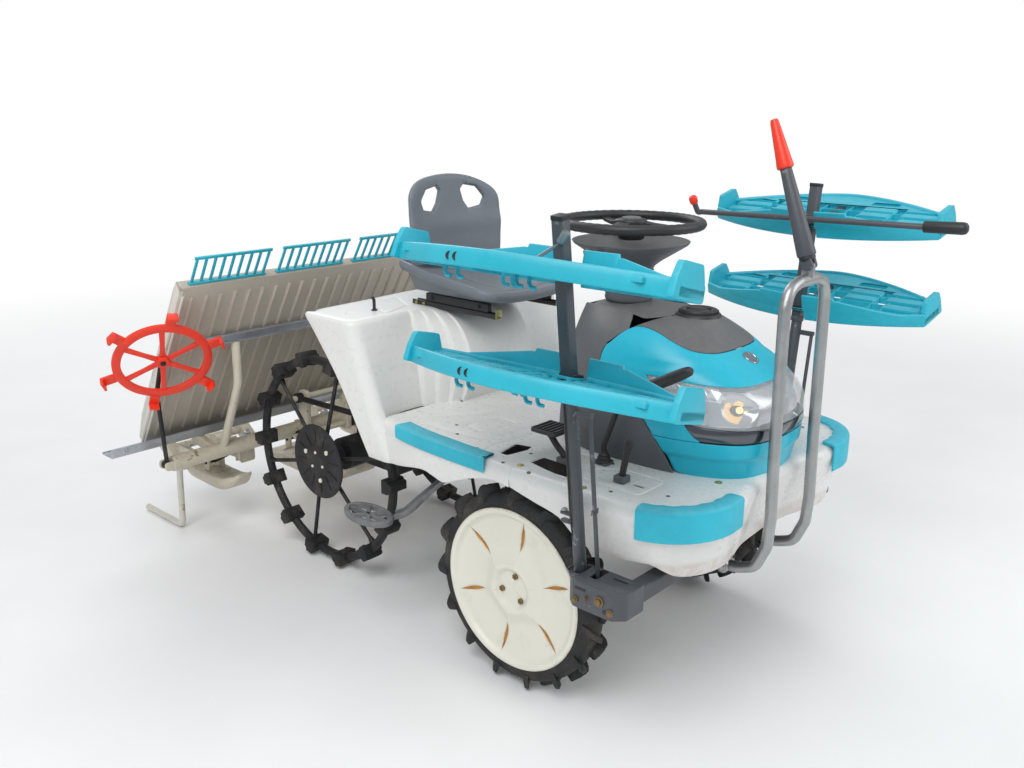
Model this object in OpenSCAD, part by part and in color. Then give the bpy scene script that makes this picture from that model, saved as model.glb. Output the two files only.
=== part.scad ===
// Riding rice transplanter, four rows, parked with its planting unit a little raised.
// Forward is +X, the left side is +Y, up is +Z. Millimetres. The ground is z = 0.

/* [Whole machine] */
// distance between the front and rear axles
wheelbase = 910; // [880:5:940]
// row spacing of the planting unit
row_pitch = 300; // [290:5:310]
// top face of the step floor and deck
floor_z = 600; // [590:2:610]
// half width of the step floor at its widest
floor_half_w = 450; // [440:2:458]
// sheet thickness of the white panels
sheet_t = 5; // [3:0.5:7]

/* [Wheels] */
// front wheel radius over the lugs
front_r = 270; // [262:1:276]
// front tyre width
front_w = 72; // [62:2:76]
// front wheel centre plane from the middle
front_y = 395; // [390:1:400]
// lugs on each side of a front tyre
front_lugs = 15; // [10:1:18]
// rear wheel radius over the lugs
rear_r = 350; // [340:2:356]
// rear wheel centre plane from the middle
rear_y = 300; // [294:1:306]
// rubber lugs on a rear rim
rear_lugs = 14; // [10:1:16]
// spokes in a rear wheel
rear_spokes = 6; // [4:1:8]
// pipe radius of the rear rim
rear_pipe_r = 14; // [11:0.5:16]

/* [Nose] */
// half width of the nose at its skirt
nose_half_w = 232; // [222:2:244]
// front end of the nose skirt
nose_x = 1402; // [1392:2:1405]
// top of the hood
hood_top_z = 946; // [936:2:956]
// fuel cap radius
cap_r = 48; // [42:1:54]

/* [Seat and wheel] */
// steering wheel radius
steer_r = 190; // [180:2:200]
// steering wheel height
steer_z = 1150; // [1135:5:1165]
// seat width
seat_w = 410; // [380:5:440]
// top of the seat back
seat_top_z = 1224; // [1205:5:1240]

/* [Racks] */
// length of a seedling rack
rack_len = 680; // [660:4:700]
// width of a seedling rack across its middle
rack_w = 290; // [280:2:300]
// height of the lower racks' inner edge
rack_low_z = 880; // [872:2:888]
// height of the upper racks' inner edge
rack_high_z = 1110; // [1100:2:1120]
// rise of the racks towards their outer edge
rack_tilt = 14; // [12:0.5:16]
// outward lean of the posts
post_lean = 7; // [5:0.5:9]
// toe-in of the racks
rack_toe = 2.5; // [1:0.1:5]

/* [Front hoop] */
// half spacing of the hoop legs
hoop_half_w = 100; // [92:1:108]
// tube radius of the hoop
hoop_r = 14; // [11:0.5:16]

/* [Planting unit] */
// full width of the seedling tray
tray_w = 1240; // [1220:4:1256]
// slope of the seedling tray
tray_slope = 58.5; // [57:0.5:60]
// length of the tray along its slope
tray_len = 660; // [640:4:672]
// centre radius of the planting rotors
rotor_r = 112; // [104:2:114]
// height of the rotor shaft
rotor_z = 250; // [244:2:260]
// star wheel radius over its paddles
star_r = 195; // [182:1:200]

/* [Hidden] */
cx = 385;
e = 0.3;
wf = wheelbase;
pz = 7;
post_x = 1156;
post_y = 465;
post_z = 400;
mark_z = 1097;
bowl_top = hood_top_z + 160;
hub_z = front_r;
king_y = 332;
lamp_top = 812;
rz = rear_r;
deck_b = floor_z - sheet_t;
teal = [0.10, 0.66, 0.72];
white = [0.93, 0.93, 0.90];
grey = [0.36, 0.38, 0.40];
dark = [0.12, 0.12, 0.13];
zinc = [0.72, 0.73, 0.72];
cream = [0.90, 0.87, 0.76];
orange = [0.95, 0.25, 0.10];

// rod between two points
module rod(a, b, r) {
  d = b - a;
  l = norm(d);
  translate(a)
    rotate([0, acos(d[2] / l), atan2(d[1], d[0])])
      cylinder(h = l, r = r, $fn = 24);
}

// bent tube through a list of points with round joints
module tube(p, r) {
  for (i = [0:len(p) - 2]) rod(p[i], p[i + 1], r);
  for (i = [1:len(p) - 2]) translate(p[i]) sphere(r = r + 0.4, $fn = 24);
}

// box from its low corner to its high corner
module box(a, b) {
  translate(a) cube(b - a);
}

// cylinder along y from y0 to y1
module ycyl(x, y0, y1, z, r, n = 32) {
  translate([x, y0, z]) rotate([-90, 0, 0]) cylinder(h = y1 - y0, r = r, $fn = n);
}

function total(v, i = 0) = i >= len(v) ? [0, 0, 0] : v[i] + total(v, i + 1);

// which way round a ring runs, seen along the sweep
function ring_turn(a, b) =
  total([for (i = [1:len(a) - 2]) cross(a[i] - a[0], a[i + 1] - a[0])]) * (total(b) - total(a));

// closed skin through rings of equal length
module skin(raw) {
  m = len(raw);
  n = len(raw[0]);
  flip = ring_turn(raw[0], raw[m - 1]) < 0;
  rings = flip ? [for (a = raw) [for (i = [n - 1:-1:0]) a[i]]] : raw;
  pts = [for (a = rings) for (b = a) b];
  side = [for (i = [0:m - 2]) for (j = [0:n - 1]) for (k = [0, 1])
    k == 0 ? [i * n + j, (i + 1) * n + j, i * n + (j + 1) % n]
           : [i * n + (j + 1) % n, (i + 1) * n + j, (i + 1) * n + (j + 1) % n]];
  lo = [[for (j = [0:n - 1]) j]];
  hi = [[for (j = [0:n - 1]) m * n - 1 - j]];
  polyhedron(points = pts, faces = concat(lo, side, hi), convexity = 6);
}

function sgp(v, k) = (v < 0 ? -1 : 1) * pow(abs(v), k);

// plan ring of the nose: flat back, rounded front
function nose_ring(z, xb, xf, w, n = 24) =
  [for (i = [0:n]) let (t = -90 + 180 * i / n)
    [xb + (xf - xb) * pow(abs(cos(t)), 0.72), w * sgp(sin(t), 0.62), z]];

// outline of the deck at an inset: rounded corners stand a little ahead of the middle
function deck_half(i) = let (w = floor_half_w - i)
  concat([[915, w], [1255, w]],
    [for (a = [1:6]) let (t = a * 15) [1255 + (170 - i) * sin(t), w - 175 + 175 * cos(t)]],
    [[1418 - i, 190], [1400 - i, 112]]);
function deck_outline(i) = let (h = deck_half(i), n = len(h))
  concat([for (p = h) [p[0], -p[1]]], [[1393 - i, 0]], [for (k = [n - 1:-1:0]) h[k]]);

// lower edge of the floor and deck walls: x and z, with the wheel arch
low_edge = [[380, 300], [380, 470], [480, 487], [600, 512], [650, 505], [682, 499], [740, 522],
  [790, 541], [839, 554], [880, 557], [917, 551], [955, 541], [1000, 530], [1030, 524], [1062, 514],
  [1082, 496], [1109, 470], [1160, 456], [1310, 468], [1340, 455], [1370, 438], [1450, 428], [1450, 300]];

module below_edge() {
  rotate([90, 0, 0]) translate([0, 0, -500]) linear_extrude(1000) polygon(low_edge);
}

function flat(ring, z) = [for (p = ring) [p[0], p[1], z]];

module mir(s) {
  if (s > 0) children();
  else mirror([0, 1, 0]) children();
}

module at() {
  translate([-cx, 0, 0]) children();
}

module chassis_frame() color(dark) at() {
  for (s = [-1, 1]) {
    box([-60, s * 120 - 18, 470], [1300, s * 120 + 18, 530]);
    for (x = [420, 700, 1285])
      box([x, s * 120 - 12, 530], [x + 14, s * 120 + 12, deck_b]);
    box([640, s > 0 ? 138 : -300, 490], [680, s > 0 ? 300 : -138, 520]);
    box([640, s > 0 ? 276 : -300, 520], [680, s > 0 ? 300 : -276, deck_b]);
  }
  for (x = [-60, 640, 1270]) box([x, -102, 475], [x + 30, 102, 525]);
  // front under-nose carrier with the two hoop eyes
  difference() {
    box([1300, -150, 440], [1330, 150, 530]);
    for (y = [-80, 80]) for (z = [460, 510])
      translate([1290, y, z]) rotate([0, 90, 0]) cylinder(h = 50, r = 5.5, $fn = 24);
  }
  for (s = [-1, 1]) mir(s) difference() {
    box([1306, hoop_half_w - 28, 340], [1330, hoop_half_w - 20 - e, 440]);
    ycyl(1320, 0, 200, 360, 5.05);
  }
}

module engine_block() color(grey) at() {
  box([1010, -150, 530], [1255, 150, 800]);
}

module front_axle_case() color(dark) at() {
  difference() {
    union() {
      ycyl(wf, -king_y, king_y, 420, 26);
      box([wf - 60, -80, 380], [wf + 60, 80, 470]);
      for (s = [-1, 1]) box([wf - 30, s * 120 - 18, 440], [wf + 30, s * 120 + 18, 470]);
      for (s = [-1, 1]) translate([wf, s * king_y, 392]) cylinder(h = 56, r = 32, $fn = 32);
    }
    for (s = [-1, 1]) translate([wf, s * king_y, 380]) cylinder(h = 90, r = 12 + 0.05, $fn = 32);
  }
}

module rear_axle_case() color(dark) at() {
  difference() {
    union() {
      ycyl(0, -236, 236, rz, 34);
      box([-90, -100, 270], [120, 100, 470]);
      box([120, -80, 330], [420, 80, 470]);
      box([-20, -138, 448], [100, 138, 470 - e]);
      for (s = [-1, 1]) ycyl(0, s > 0 ? 150 : -236, s > 0 ? 236 : -150, rz, 52);
    }
    for (s = [-1, 1]) ycyl(0, s > 0 ? 180 : -240, s > 0 ? 240 : -180, rz, 20.05);
    ycyl(-60, -101, 101, 300, 10.05);
    ycyl(-60, -101, 101, 440, 10.05);
  }
}

// hood levels: height, front end, half width
hood_rows = [[lamp_top, nose_x - 40, 211], [836, 1330, 204], [868, 1276, 192], [904, 1218, 170],
  [930, 1180, 140], [946, 1150, 110]];

module hood_body(i, z0) {
  k = (hood_top_z - lamp_top) / (946 - lamp_top);
  skin([for (r = hood_rows) nose_ring(lamp_top + (r[0] - lamp_top) * k + z0, 1002 + i, r[1] - 2 * i, r[2] - i)]);
}

module hood_shell() color(teal) at() {
  difference() {
    hood_body(0, 0);
    hood_body(5, -6);
    translate([1120, 0, 880]) cylinder(h = 100, r = cap_r + 28, $fn = 40);
    box([990, -93, 880], [1120, 93, 960]);
  }
}

module dash_cover() color(grey) at() {
  difference() {
    skin([[ for (p = [[800, -120], [1002, -215], [1002, 215], [800, 120]]) [p[0], p[1], floor_z]],
      [ for (p = [[815, -120], [1002, -214], [1002, 214], [815, 120]]) [p[0], p[1], 790]],
      [ for (p = [[850, -100], [1002, -160], [1002, 160], [850, 100]]) [p[0], p[1], 915]],
      [ for (p = [[865, -90], [1002, -92], [1002, 92], [865, 90]]) [p[0], p[1], hood_top_z + 6]]]);
    skin([[ for (p = [[808, -112], [1010, -207], [1010, 207], [808, 112]]) [p[0], p[1], floor_z - 1]],
      [ for (p = [[823, -112], [1010, -206], [1010, 206], [823, 112]]) [p[0], p[1], 790]],
      [ for (p = [[858, -92], [1010, -152], [1010, 152], [858, 92]]) [p[0], p[1], 910]]]);
  }
  // collar around the filler and the cap on it
  difference() {
    union() {
      box([1002, -92, 895], [1120, 92, hood_top_z]);
      translate([1120, 0, 895]) cylinder(h = hood_top_z - 895, r = cap_r + 27, $fn = 40);
    }
    translate([1120, 0, 905]) cylinder(h = 60, r1 = cap_r + 4, r2 = cap_r + 22, $fn = 40);
  }
  translate([1120, 0, 904]) cylinder(h = 36, r = cap_r - 12, $fn = 40);
  translate([1120, 0, 940]) cylinder(h = 20, r = cap_r, $fn = 40);
}

module headlamp_band() color([0.85, 0.88, 0.90]) at() {
  difference() {
    skin([nose_ring(690, 1100, nose_x, 226), nose_ring(740, 1100, nose_x + 3, 222),
      nose_ring(780, 1100, nose_x - 8, 217), nose_ring(lamp_top, 1100, nose_x - 38, 211)]);
    skin([nose_ring(689, 1090, nose_x - 12, 218), nose_ring(740, 1090, nose_x - 9, 214),
      nose_ring(780, 1090, nose_x - 20, 209), nose_ring(lamp_top + 1, 1090, nose_x - 52, 203)]);
  }
}

module nose_skirt() color(teal) at() {
  difference() {
    skin([nose_ring(floor_z, 1002, nose_x - 12, nose_half_w - 14), nose_ring(646, 1002, nose_x - 6, nose_half_w - 8),
      nose_ring(652, 1002, nose_x + 1, nose_half_w - 2), nose_ring(690, 1002, nose_x, nose_half_w - 5)]);
    skin([nose_ring(floor_z - 1, 994, nose_x - 21, nose_half_w - 22), nose_ring(646, 994, nose_x - 15, nose_half_w - 16),
      nose_ring(652, 994, nose_x - 9, nose_half_w - 10), nose_ring(691, 994, nose_x - 10, nose_half_w - 13)]);
  }
  // side cheeks that carry the band's rear ends up to the hood
  for (s = [-1, 1]) mir(s) {
    box([1002, 200, 682], [1100, 208, lamp_top]);
    box([1002, 200, 682], [1100, 222, 689]);
  }
}

module front_deck() color(white) at() {
  difference() {
    union() {
      translate([0, 0, deck_b]) linear_extrude(sheet_t) polygon(deck_outline(0));
      difference() {
        skin([flat(deck_outline(36), 424), flat(deck_outline(2), 575), flat(deck_outline(0), deck_b + 1)]);
        skin([flat(deck_outline(36 + sheet_t), 423), flat(deck_outline(2 + sheet_t), 575),
          flat(deck_outline(sheet_t), deck_b + 2)]);
        box([900, -300, 400], [925, 300, 590]);
      }
    }
    below_edge();
    box([1010 - 8, -160, 500], [1268, 160, 620]);
    for (s = [-1, 1]) translate([1080, s * 330, 560]) cylinder(h = 60, r = 14, $fn = 24);
  }
}

module step_floor() color(white) at() {
  difference() {
    union() {
      translate([0, 0, deck_b]) linear_extrude(sheet_t)
        polygon([[400, -400], [560, -438], [760, -floor_half_w], [915 - e, -floor_half_w],
          [915 - e, floor_half_w], [760, floor_half_w], [560, 438], [400, 400]]);
      for (s = [-1, 1]) mir(s) translate([0, 0, 470]) linear_extrude(deck_b + 1 - 470)
        polygon([[400, 400 - sheet_t], [560, 438 - sheet_t], [760, floor_half_w - sheet_t],
          [915 - e, floor_half_w - sheet_t], [915 - e, floor_half_w], [760, floor_half_w], [560, 438], [400, 400]]);
    }
    below_edge();
    for (s = [-1, 1]) mir(s) {
      translate([640, 200, 590]) cylinder(h = 20, r = 0.6, $fn = 12);
      box([850, 250, 590], [872, 330, 610]);
    }
    box([812, -105, 590], [916, 105, 610]);
  }
}

module deck_pads() color(teal) at() {
  for (s = [-1, 1]) mir(s) {
    // long pad along the floor edge, turned down over it
    translate([0, 0, floor_z]) linear_extrude(7)
      polygon([[478, 372], [830, 408], [842, floor_half_w + 5], [760, floor_half_w + 5], [560, 443], [478, 423]]);
    for (i = [0:4]) translate([0, 0, floor_z + 7])
      box([500 + i * 66, 392 + i * 4, 0], [540 + i * 66, 404 + i * 4, 4]);
    translate([0, 0, floor_z - 30]) linear_extrude(34)
      polygon([[478, 419 + e], [560, 438 + e], [760, floor_half_w + e], [842, floor_half_w + e],
        [842, floor_half_w + 5], [760, floor_half_w + 5], [560, 443], [478, 423]]);
    // corner pad of the front deck, turned down over the apron
    for (k = [[0, 8, 40, -5], [-66, 4, -e, -5]])
      translate([0, 0, floor_z + k[0]]) linear_extrude(k[1] - k[0]) intersection() {
        difference() {
          polygon(deck_outline(k[3]));
          polygon(deck_outline(k[2]));
        }
        polygon([[1282, 232], [1500, 232], [1500, 500], [1282, 500]]);
      }
  }
}

module seat_base() color(white) at() {
  difference() {
    skin([for (r = [[-366, 60], [-350, 12], [-324, 0], [324, 0], [350, 12], [366, 60]]) let (k = r[1])
      [[400, r[0], floor_z], [760 - k * 0.2, r[0], floor_z], [735 - k * 0.3, r[0], 690 - k * 0.2],
       [670 - k * 0.4, r[0], 780 - k * 0.3], [580 - k * 0.5, r[0], 842 - k * 0.5],
       [450, r[0], 866 - k * 0.8], [70 + k * 0.4, r[0], 866 - k * 1.2], [100 + k * 0.3, r[0], 820 - k]]]);
    skin([for (y = [-354, 354])
      [[416, y, floor_z - 1], [745, y, floor_z - 1], [722, y, 685],
       [655, y, 770], [572, y, 820], [450, y, 835], [120, y, 835], [140, y, 800]]]);
  }
  // rear legs of the side panels down behind the floor
  for (s = [-1, 1]) mir(s) translate([0, 366, 0]) rotate([90, 0, 0]) linear_extrude(10)
    polygon([[400, 470], [400, floor_z], [380, floor_z + 18], [300, 560], [335, 470]]);
}

module seat_rails() color(dark) at() {
  for (s = [-1, 1]) {
    box([250, s * 130 - 12, 866], [590, s * 130 + 12, 880]);
  }
}

// plan outline from x0 to x1, half width hw, front corners rounded with radius r
function round_plan(x0, x1, hw, r) = concat([[x0, hw], [x0, -hw]],
  [for (a = [0:15:90]) [x1 - r + r * sin(a), -hw + r - r * cos(a)]],
  [for (a = [0:15:90]) [x1 - r + r * cos(a), hw - r + r * sin(a)]]);

module driver_seat() color(grey) at() {
  // sliders under the cushion
  for (s = [-1, 1]) box([300, s * 130 - 9, 880 + e], [560, s * 130 + 9, 905]);
  // cushion: side profile across the seat, trimmed to a rounded plan
  intersection() {
    translate([0, seat_w / 2, 0]) rotate([90, 0, 0]) linear_extrude(seat_w)
      polygon([[246, 905], [585, 905], [618, 925], [608, 950], [450, 956], [320, 978], [246, 984]]);
    translate([0, 0, 890]) linear_extrude(120)
      polygon(round_plan(246, 618, seat_w / 2, 46));
  }
  // shell back with two windows
  difference() {
    rotate([90, 0, 90]) translate([0, 0, 233]) linear_extrude(26)
      polygon(concat([[-seat_w / 2, 925]], [[-seat_w / 2, 1060]],
        [for (a = [0:8]) let (t = 180 - a * 22.5 * 1) [ (seat_w / 2) * cos(t) * 0.98, 1090 + (seat_top_z - 1090) * pow(abs(sin(t)), 0.7)]],
        [[seat_w / 2, 1060], [seat_w / 2, 925]]));
    for (s = [-1, 1]) rotate([90, 0, 90]) translate([0, 0, 223]) linear_extrude(60)
      polygon([[s * 40, 1185], [s * 48, 1112], [s * 70, 1104], [s * 130, 1118], [s * 138, 1135], [s * 70, 1188]]);
  }
}

module column_bowl() color(grey) at() {
  translate([930, 0, hood_top_z + 6]) cylinder(h = 90, r1 = 62, r2 = 62, $fn = 40);
  translate([930, 0, hood_top_z + 96]) cylinder(h = 64, r1 = 70, r2 = 150, $fn = 48);
}

module steering_wheel() color(dark) at() {
  translate([930, 0, steer_z]) {
    rotate_extrude($fn = 64) translate([steer_r - 14, 0]) circle(r = 14, $fn = 16);
    translate([0, 0, bowl_top + e - steer_z]) cylinder(h = steer_z + 8 - bowl_top - e, r = 34, $fn = 32);
    for (a = [30, 150, 270]) rotate(a) box([20, -13, -16], [steer_r - 10, 13, -6]);
    for (a = [30, 150, 270]) rotate(a) box([steer_r - 24, -13, -16], [steer_r - 10, 13, 4]);
  }
}

module hand_levers() color(dark) at() {
  // main lever with its long grip right of the dash, slim lever on the deck
  box([1040, -280, floor_z + e], [1080, -244, floor_z + 12]);
  tube([[1060, -262, floor_z + 8], [1058, -262, 645], [1100, -262, 760], [1175, -262, 815]], 7);
  rod([1168, -262, 810], [1290, -262, 878], 16);
  rod([1163, -330, floor_z + 8], [1180, -330, 700], 9);
  box([1148, -345, floor_z + e], [1178, -315, floor_z + 16]);
  // foot pedals: a right one and a left one
  for (s = [-1, 1]) {
    box([970, s * 320 - 14, floor_z + e], [1000, s * 320 + 14, floor_z + 14]);
    tube([[985, s * 320, floor_z + 9], [960, s * 320, 634], [925, s * 320, 672]], 8);
    box([905, s * 320 - 40, 672], [985, s * 320 + 40, 684]);
  }
  // gate lever on the seat base
  translate([250, -290, 866 + e]) cylinder(h = 40, r = 5, $fn = 16);
}

module stirrup_steps() color(dark) at() {
  for (s = [-1, 1]) mir(s) {
    box([642, 300 + e, 492], [678, 312, 518]);
    tube([[660, 316, 505], [590, 366, 450], [530, 430, 370]], 11);
    translate([455, 470, 352]) difference() {
      cylinder(h = 16, r = 92, $fn = 40);
      translate([0, 0, -1]) cylinder(h = 18, r = 76, $fn = 40);
    }
    box([372, 462, 354], [538, 478, 364]);
  }
}

module rack_brackets() color(grey) at() {
  for (s = [-1, 1]) mir(s) {
    difference() {
      union() {
        translate([post_x, 0, 365]) linear_extrude(65)
          polygon([[14, 438], [2, 450], [-5, 466], [-5, 495], [4, 510], [22, 524], [130, 524], [154, 500], [154, 438]]);
        translate([post_x, 0, 396]) linear_extrude(34)
          polygon([[2, 438], [-16, 452], [-21.5, 468], [-27, 484], [4, 510], [22, 524], [40, 524], [40, 438]]);
      }
      box([post_x - 18, post_y - 30, 374], [post_x + 18, post_y + 30, 431]);
      box([post_x + 42, post_y - 30, 380], [post_x + 62, post_y + 26, 431]);
    }
    // pins of the post and of its levelling rod
    for (x = [-20, 40]) translate([post_x + x, post_y, post_z]) rotate([0, 90, 0]) cylinder(h = x > 0 ? 24 : 40, r = 6, $fn = 24);
    box([post_x + 114, 138, 385], [post_x + 154, 438, 425]);
    box([1280, 138, 425], [1300, 150, 475]);
  }
}

// frame of a rack: x forward, y outward and up its tilt, z off its plate; zero on the inner edge
module rack_frame(z) {
  translate([post_x, post_y + (z - post_z) * tan(post_lean) - 48, z])
    rotate([rack_tilt, 0, -rack_toe]) children();
}

module rack_post(s) at() mir(s) {
  difference() {
    translate([post_x, post_y, post_z]) rotate([-post_lean, 0, 0]) {
      translate([0, 0, -12]) cylinder(h = 470, r = 15, $fn = 32);
      box([-14, -14, 450], [14, 14, 837]);
      for (z = [138, 158]) box([-46, -8, z], [-10, 8, z + 5]);
      // levelling rod with its eye, tied to the post at its head
      translate([50, 0, 0]) rotate([0, 90, 0]) cylinder(h = 15, r = 11, center = true, $fn = 24);
      translate([50, 0, 6]) cylinder(h = 415, r = 5, $fn = 20);
      box([-6, -6, 409], [56, 6, 421]);
    }
    translate([post_x - 30, post_y, post_z]) rotate([0, 90, 0]) cylinder(h = 100, r = 6.05, $fn = 24);
  }
  // carrier arms under the racks
  for (z = [rack_low_z, rack_high_z])
    rack_frame(z) box([-13, 38, -24], [13, rack_w - 30, -8 - e]);
}

module rack_post_r() color(grey) rack_post(-1);
module rack_post_l() color(grey) {
  rack_post(1);
  // long rod beside the left upper rack with its grips, and its clamp on the post
  at() {
    rod([828, 486, 1134], [1500, 486, 1146], 8);
    rod([1490, 486, 1146], [1600, 490, 1150], 15);
    rod([828, 484, 1128], [822, 462, 1176], 10);
    box([post_x - 13, 474, 1122], [post_x + 13, 552, 1150]);
  }
}

// half plan of a rack at an inset: the inner side bows in, the outer side bows out
function rack_in(a) = 18 + 75 * pow(abs(a) / 340, 2);
function rack_out(a) = 18 + rack_w - 125 * pow(abs(a) / 340, 1.6);
function rack_plan(i) = let (l = rack_len / 2 - i, m = 10)
  concat([for (k = [-m:m]) let (a = l * k / m) [a, rack_in(a) + i]],
    [for (k = [m:-1:-m]) let (a = l * k / m) [a, rack_out(a) - i]]);

// one rack: slotted plate, hanging rim, end stops, inner tabs, notch for the post
module rack(z) {
  l = rack_len / 2;
  rack_frame(z) difference() {
    union() {
      difference() {
        translate([0, 0, -8]) linear_extrude(8) polygon(rack_plan(0));
        for (i = [-3:2]) for (j = [0:2])
          box([i * 92 + 12, 84 + j * 62, -10], [i * 92 + 80, 106 + j * 62, 2]);
      }
      difference() {
        translate([0, 0, -32]) linear_extrude(28) polygon(rack_plan(0));
        translate([0, 0, -33]) linear_extrude(40) polygon(rack_plan(9));
      }
      for (s = [-1, 1]) translate([s * (l - 12), 0, 0]) rotate([90, 0, 90])
        linear_extrude(16, center = true) polygon([[98, -2], [190, -2], [180, 34], [112, 34]]);
      for (x = [[-128, -34], [34, 108]]) let (k = rack_in(x[0]) > rack_in(x[1]) ? rack_in(x[0]) : rack_in(x[1]))
        box([x[0], k, -4], [x[1], k + 10, 34]);
    }
    box([-21, -10, -40], [21, 86, 40]);
  }
}

module rack_pair(s) at() mir(s) {
  rack(rack_low_z);
  rack(rack_high_z);
}

module seedling_racks_r() color(teal) rack_pair(-1);
module seedling_racks_l() color(teal) rack_pair(1);

module front_hoop() color(zinc) at() {
  h = hoop_half_w;
  side = [[1322, h, 360], [1360, h, 362], [1400, h, 385], [1424, h, 440], [1428, h, 510],
    [1422, h, 660], [1418, h, 1020], [1418, h - 14, 1048], [1418, h - 44, 1062]];
  n = len(side);
  tube(concat(side, [for (i = [n - 1:-1:0]) [side[i][0], -side[i][1], side[i][2]]]), hoop_r);
  for (s = [-1, 1]) mir(s) {
    ycyl(1320, h - 20, h + 20, 360, 17);
    ycyl(1320, h - 30, h - 20, 360, 5);
  }
  // lug for the marker's fork
  difference() {
    union() {
      ycyl(1418, -5, 5, mark_z, 14);
      box([1406, -5, 1062], [1430, 5, mark_z]);
    }
    ycyl(1418, -10, 10, mark_z, 5.05);
  }
}

module centre_marker() color(grey) at() {
  translate([1418, 0, mark_z]) rotate([0, -20, 0]) {
    for (s = [-1, 1]) mir(s) {
      ycyl(0, 5 + e, 14, 0, 14);
      box([-12, 5 + e, 0], [12, 14, 20]);
    }
    ycyl(0, -12, 12, 0, 5);
    translate([0, 0, 18]) cylinder(h = 205, r1 = 22, r2 = 13, $fn = 32);
    translate([0, 0, 223]) cylinder(h = 112, r1 = 19, r2 = 9, $fn = 32);
  }
}

module knuckle(s) at() mir(s) translate([wf, 0, 0]) {
  translate([0, king_y, 300]) cylinder(h = 92 - e, r = 28, $fn = 32);
  translate([0, king_y, 300]) cylinder(h = 160, r = 12, $fn = 32);
  translate([0, king_y, 448 + e]) cylinder(h = 12, r = 24, $fn = 32);
  ycyl(0, king_y - 30, king_y + 32, hub_z, 42);
  ycyl(0, king_y + 32, front_y + 18 - e, hub_z, 14);
}

module knuckle_r() color(dark) knuckle(-1);
module knuckle_l() color(dark) knuckle(1);

module front_tyre(s) at() mir(s) translate([wf, front_y, hub_z]) rotate([-90, 0, 0]) {
  w = front_w / 2;
  rotate_extrude($fn = 60)
    polygon([[200, -w + 6], [200, w - 6], [212, w], [232, w], [248, w - 10], [252, 0],
      [248, -w + 10], [232, -w], [212, -w]]);
  for (k = [-1, 1]) for (i = [0:front_lugs - 1])
    rotate([0, 0, (i + (k > 0 ? 0.5 : 0)) * 360 / front_lugs])
      translate([248, 0, 0]) rotate([k * 32, 0, 0])
        box([-6, -9, k > 0 ? -2 : -w - 2], [front_r - 249, 9, k > 0 ? w + 2 : 2]);
}

module front_tyre_r() color(dark) front_tyre(-1);
module front_tyre_l() color(dark) front_tyre(1);

module front_disc(s) at() mir(s) translate([wf, front_y, hub_z]) rotate([-90, 0, 0]) {
  w = front_w / 2;
  difference() {
    rotate_extrude($fn = 72)
      polygon([[0, -4], [0, 30], [62, 30], [70, 20], [96, 20], [150, 30], [196, 34], [208, w + 4], [220, w + 4],
        [220, w], [211, w], [200, w - 6], [200, -w + 6], [196, -w + 6], [196, 26], [150, 24], [96, 14], [60, 14], [36, 14], [34, -4]]);
    for (i = [0:2]) rotate(i * 120) translate([34, 0, 10]) cylinder(h = 40, r = 9, $fn = 20);
    translate([0, 0, -6]) cylinder(h = 24, r = 14.05, $fn = 32);
  }
  for (i = [0:5]) rotate(i * 60 + 12) box([96, -7, 20], [172, 7, 31]);
}

module front_disc_r() color(cream) front_disc(-1);
module front_disc_l() color(cream) front_disc(1);

module rear_wheel(s) at() mir(s) translate([0, rear_y, rz]) rotate([-90, 0, 0]) {
  rp = rear_r - 28;
  rotate_extrude($fn = 72) translate([rp, 0]) circle(r = rear_pipe_r, $fn = 14);
  for (i = [0:rear_lugs - 1]) rotate(i * 360 / rear_lugs)
    box([rp - 17, -22, -34], [rear_r - 1.2, 22, 34]);
  for (i = [0:rear_spokes - 1]) rotate(i * 360 / rear_spokes + 15)
    rod([26, 0, 4], [rp, 0, 0], 6.5);
  // hub, half shaft and cover disc
  translate([0, 0, -118]) cylinder(h = 60, r = 20, $fn = 32);
  translate([0, 0, -59]) cylinder(h = 86, r = 34, $fn = 32);
  translate([0, 0, 27]) cylinder(h = 6, r = 121, $fn = 60);
  for (i = [0:2]) rotate(i * 120 + 40) translate([62, 0, 31]) cylinder(h = 8, r = 9, $fn = 20);
}

module rear_wheel_r() color(dark) rear_wheel(-1);
module rear_wheel_l() color(dark) rear_wheel(1);

// lift: link pivots on the gear case and on the planting frame
float_x = -595;
float_y = 345;
float_z = 205;
link_a = [-60, 300];
link_b = [-60, 440];
link_dx = -330;
link_dz = -10;

module lower_links() color(dark) at() {
  for (s = [-1, 1]) {
    difference() {
      union() {
        rod([link_a[0], s * 114, link_a[1]], [link_a[0] + link_dx, s * 114, link_a[1] + link_dz], 12);
        ycyl(link_a[0], s * 114 - 12, s * 114 + 12, link_a[1], 20);
        ycyl(link_a[0] + link_dx, s * 114 - 12, s * 114 + 12, link_a[1] + link_dz, 20);
      }
      if (s > 0) ycyl(link_a[0] + link_dx, 90, 140, link_a[1] + link_dz, 10.05);
      if (s < 0) ycyl(link_a[0] + link_dx, -140, -90, link_a[1] + link_dz, 10.05);
    }
  }
  ycyl(link_a[0], -102, 102, link_a[1], 10);
}

module upper_link() color(dark) at() {
  for (s = [-1, 1]) difference() {
    union() {
      rod([link_b[0], s * 114, link_b[1]], [link_b[0] + link_dx, s * 114, link_b[1] + link_dz], 10);
      ycyl(link_b[0], s * 114 - 12, s * 114 + 12, link_b[1], 18);
      ycyl(link_b[0] + link_dx, s * 114 - 12, s * 114 + 12, link_b[1] + link_dz, 18);
    }
    ycyl(link_b[0] + link_dx, s > 0 ? 90 : -140, s > 0 ? 140 : -90, link_b[1] + link_dz, 10.05);
  }
  ycyl(link_b[0], -102, 102, link_b[1], 10);
}

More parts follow.
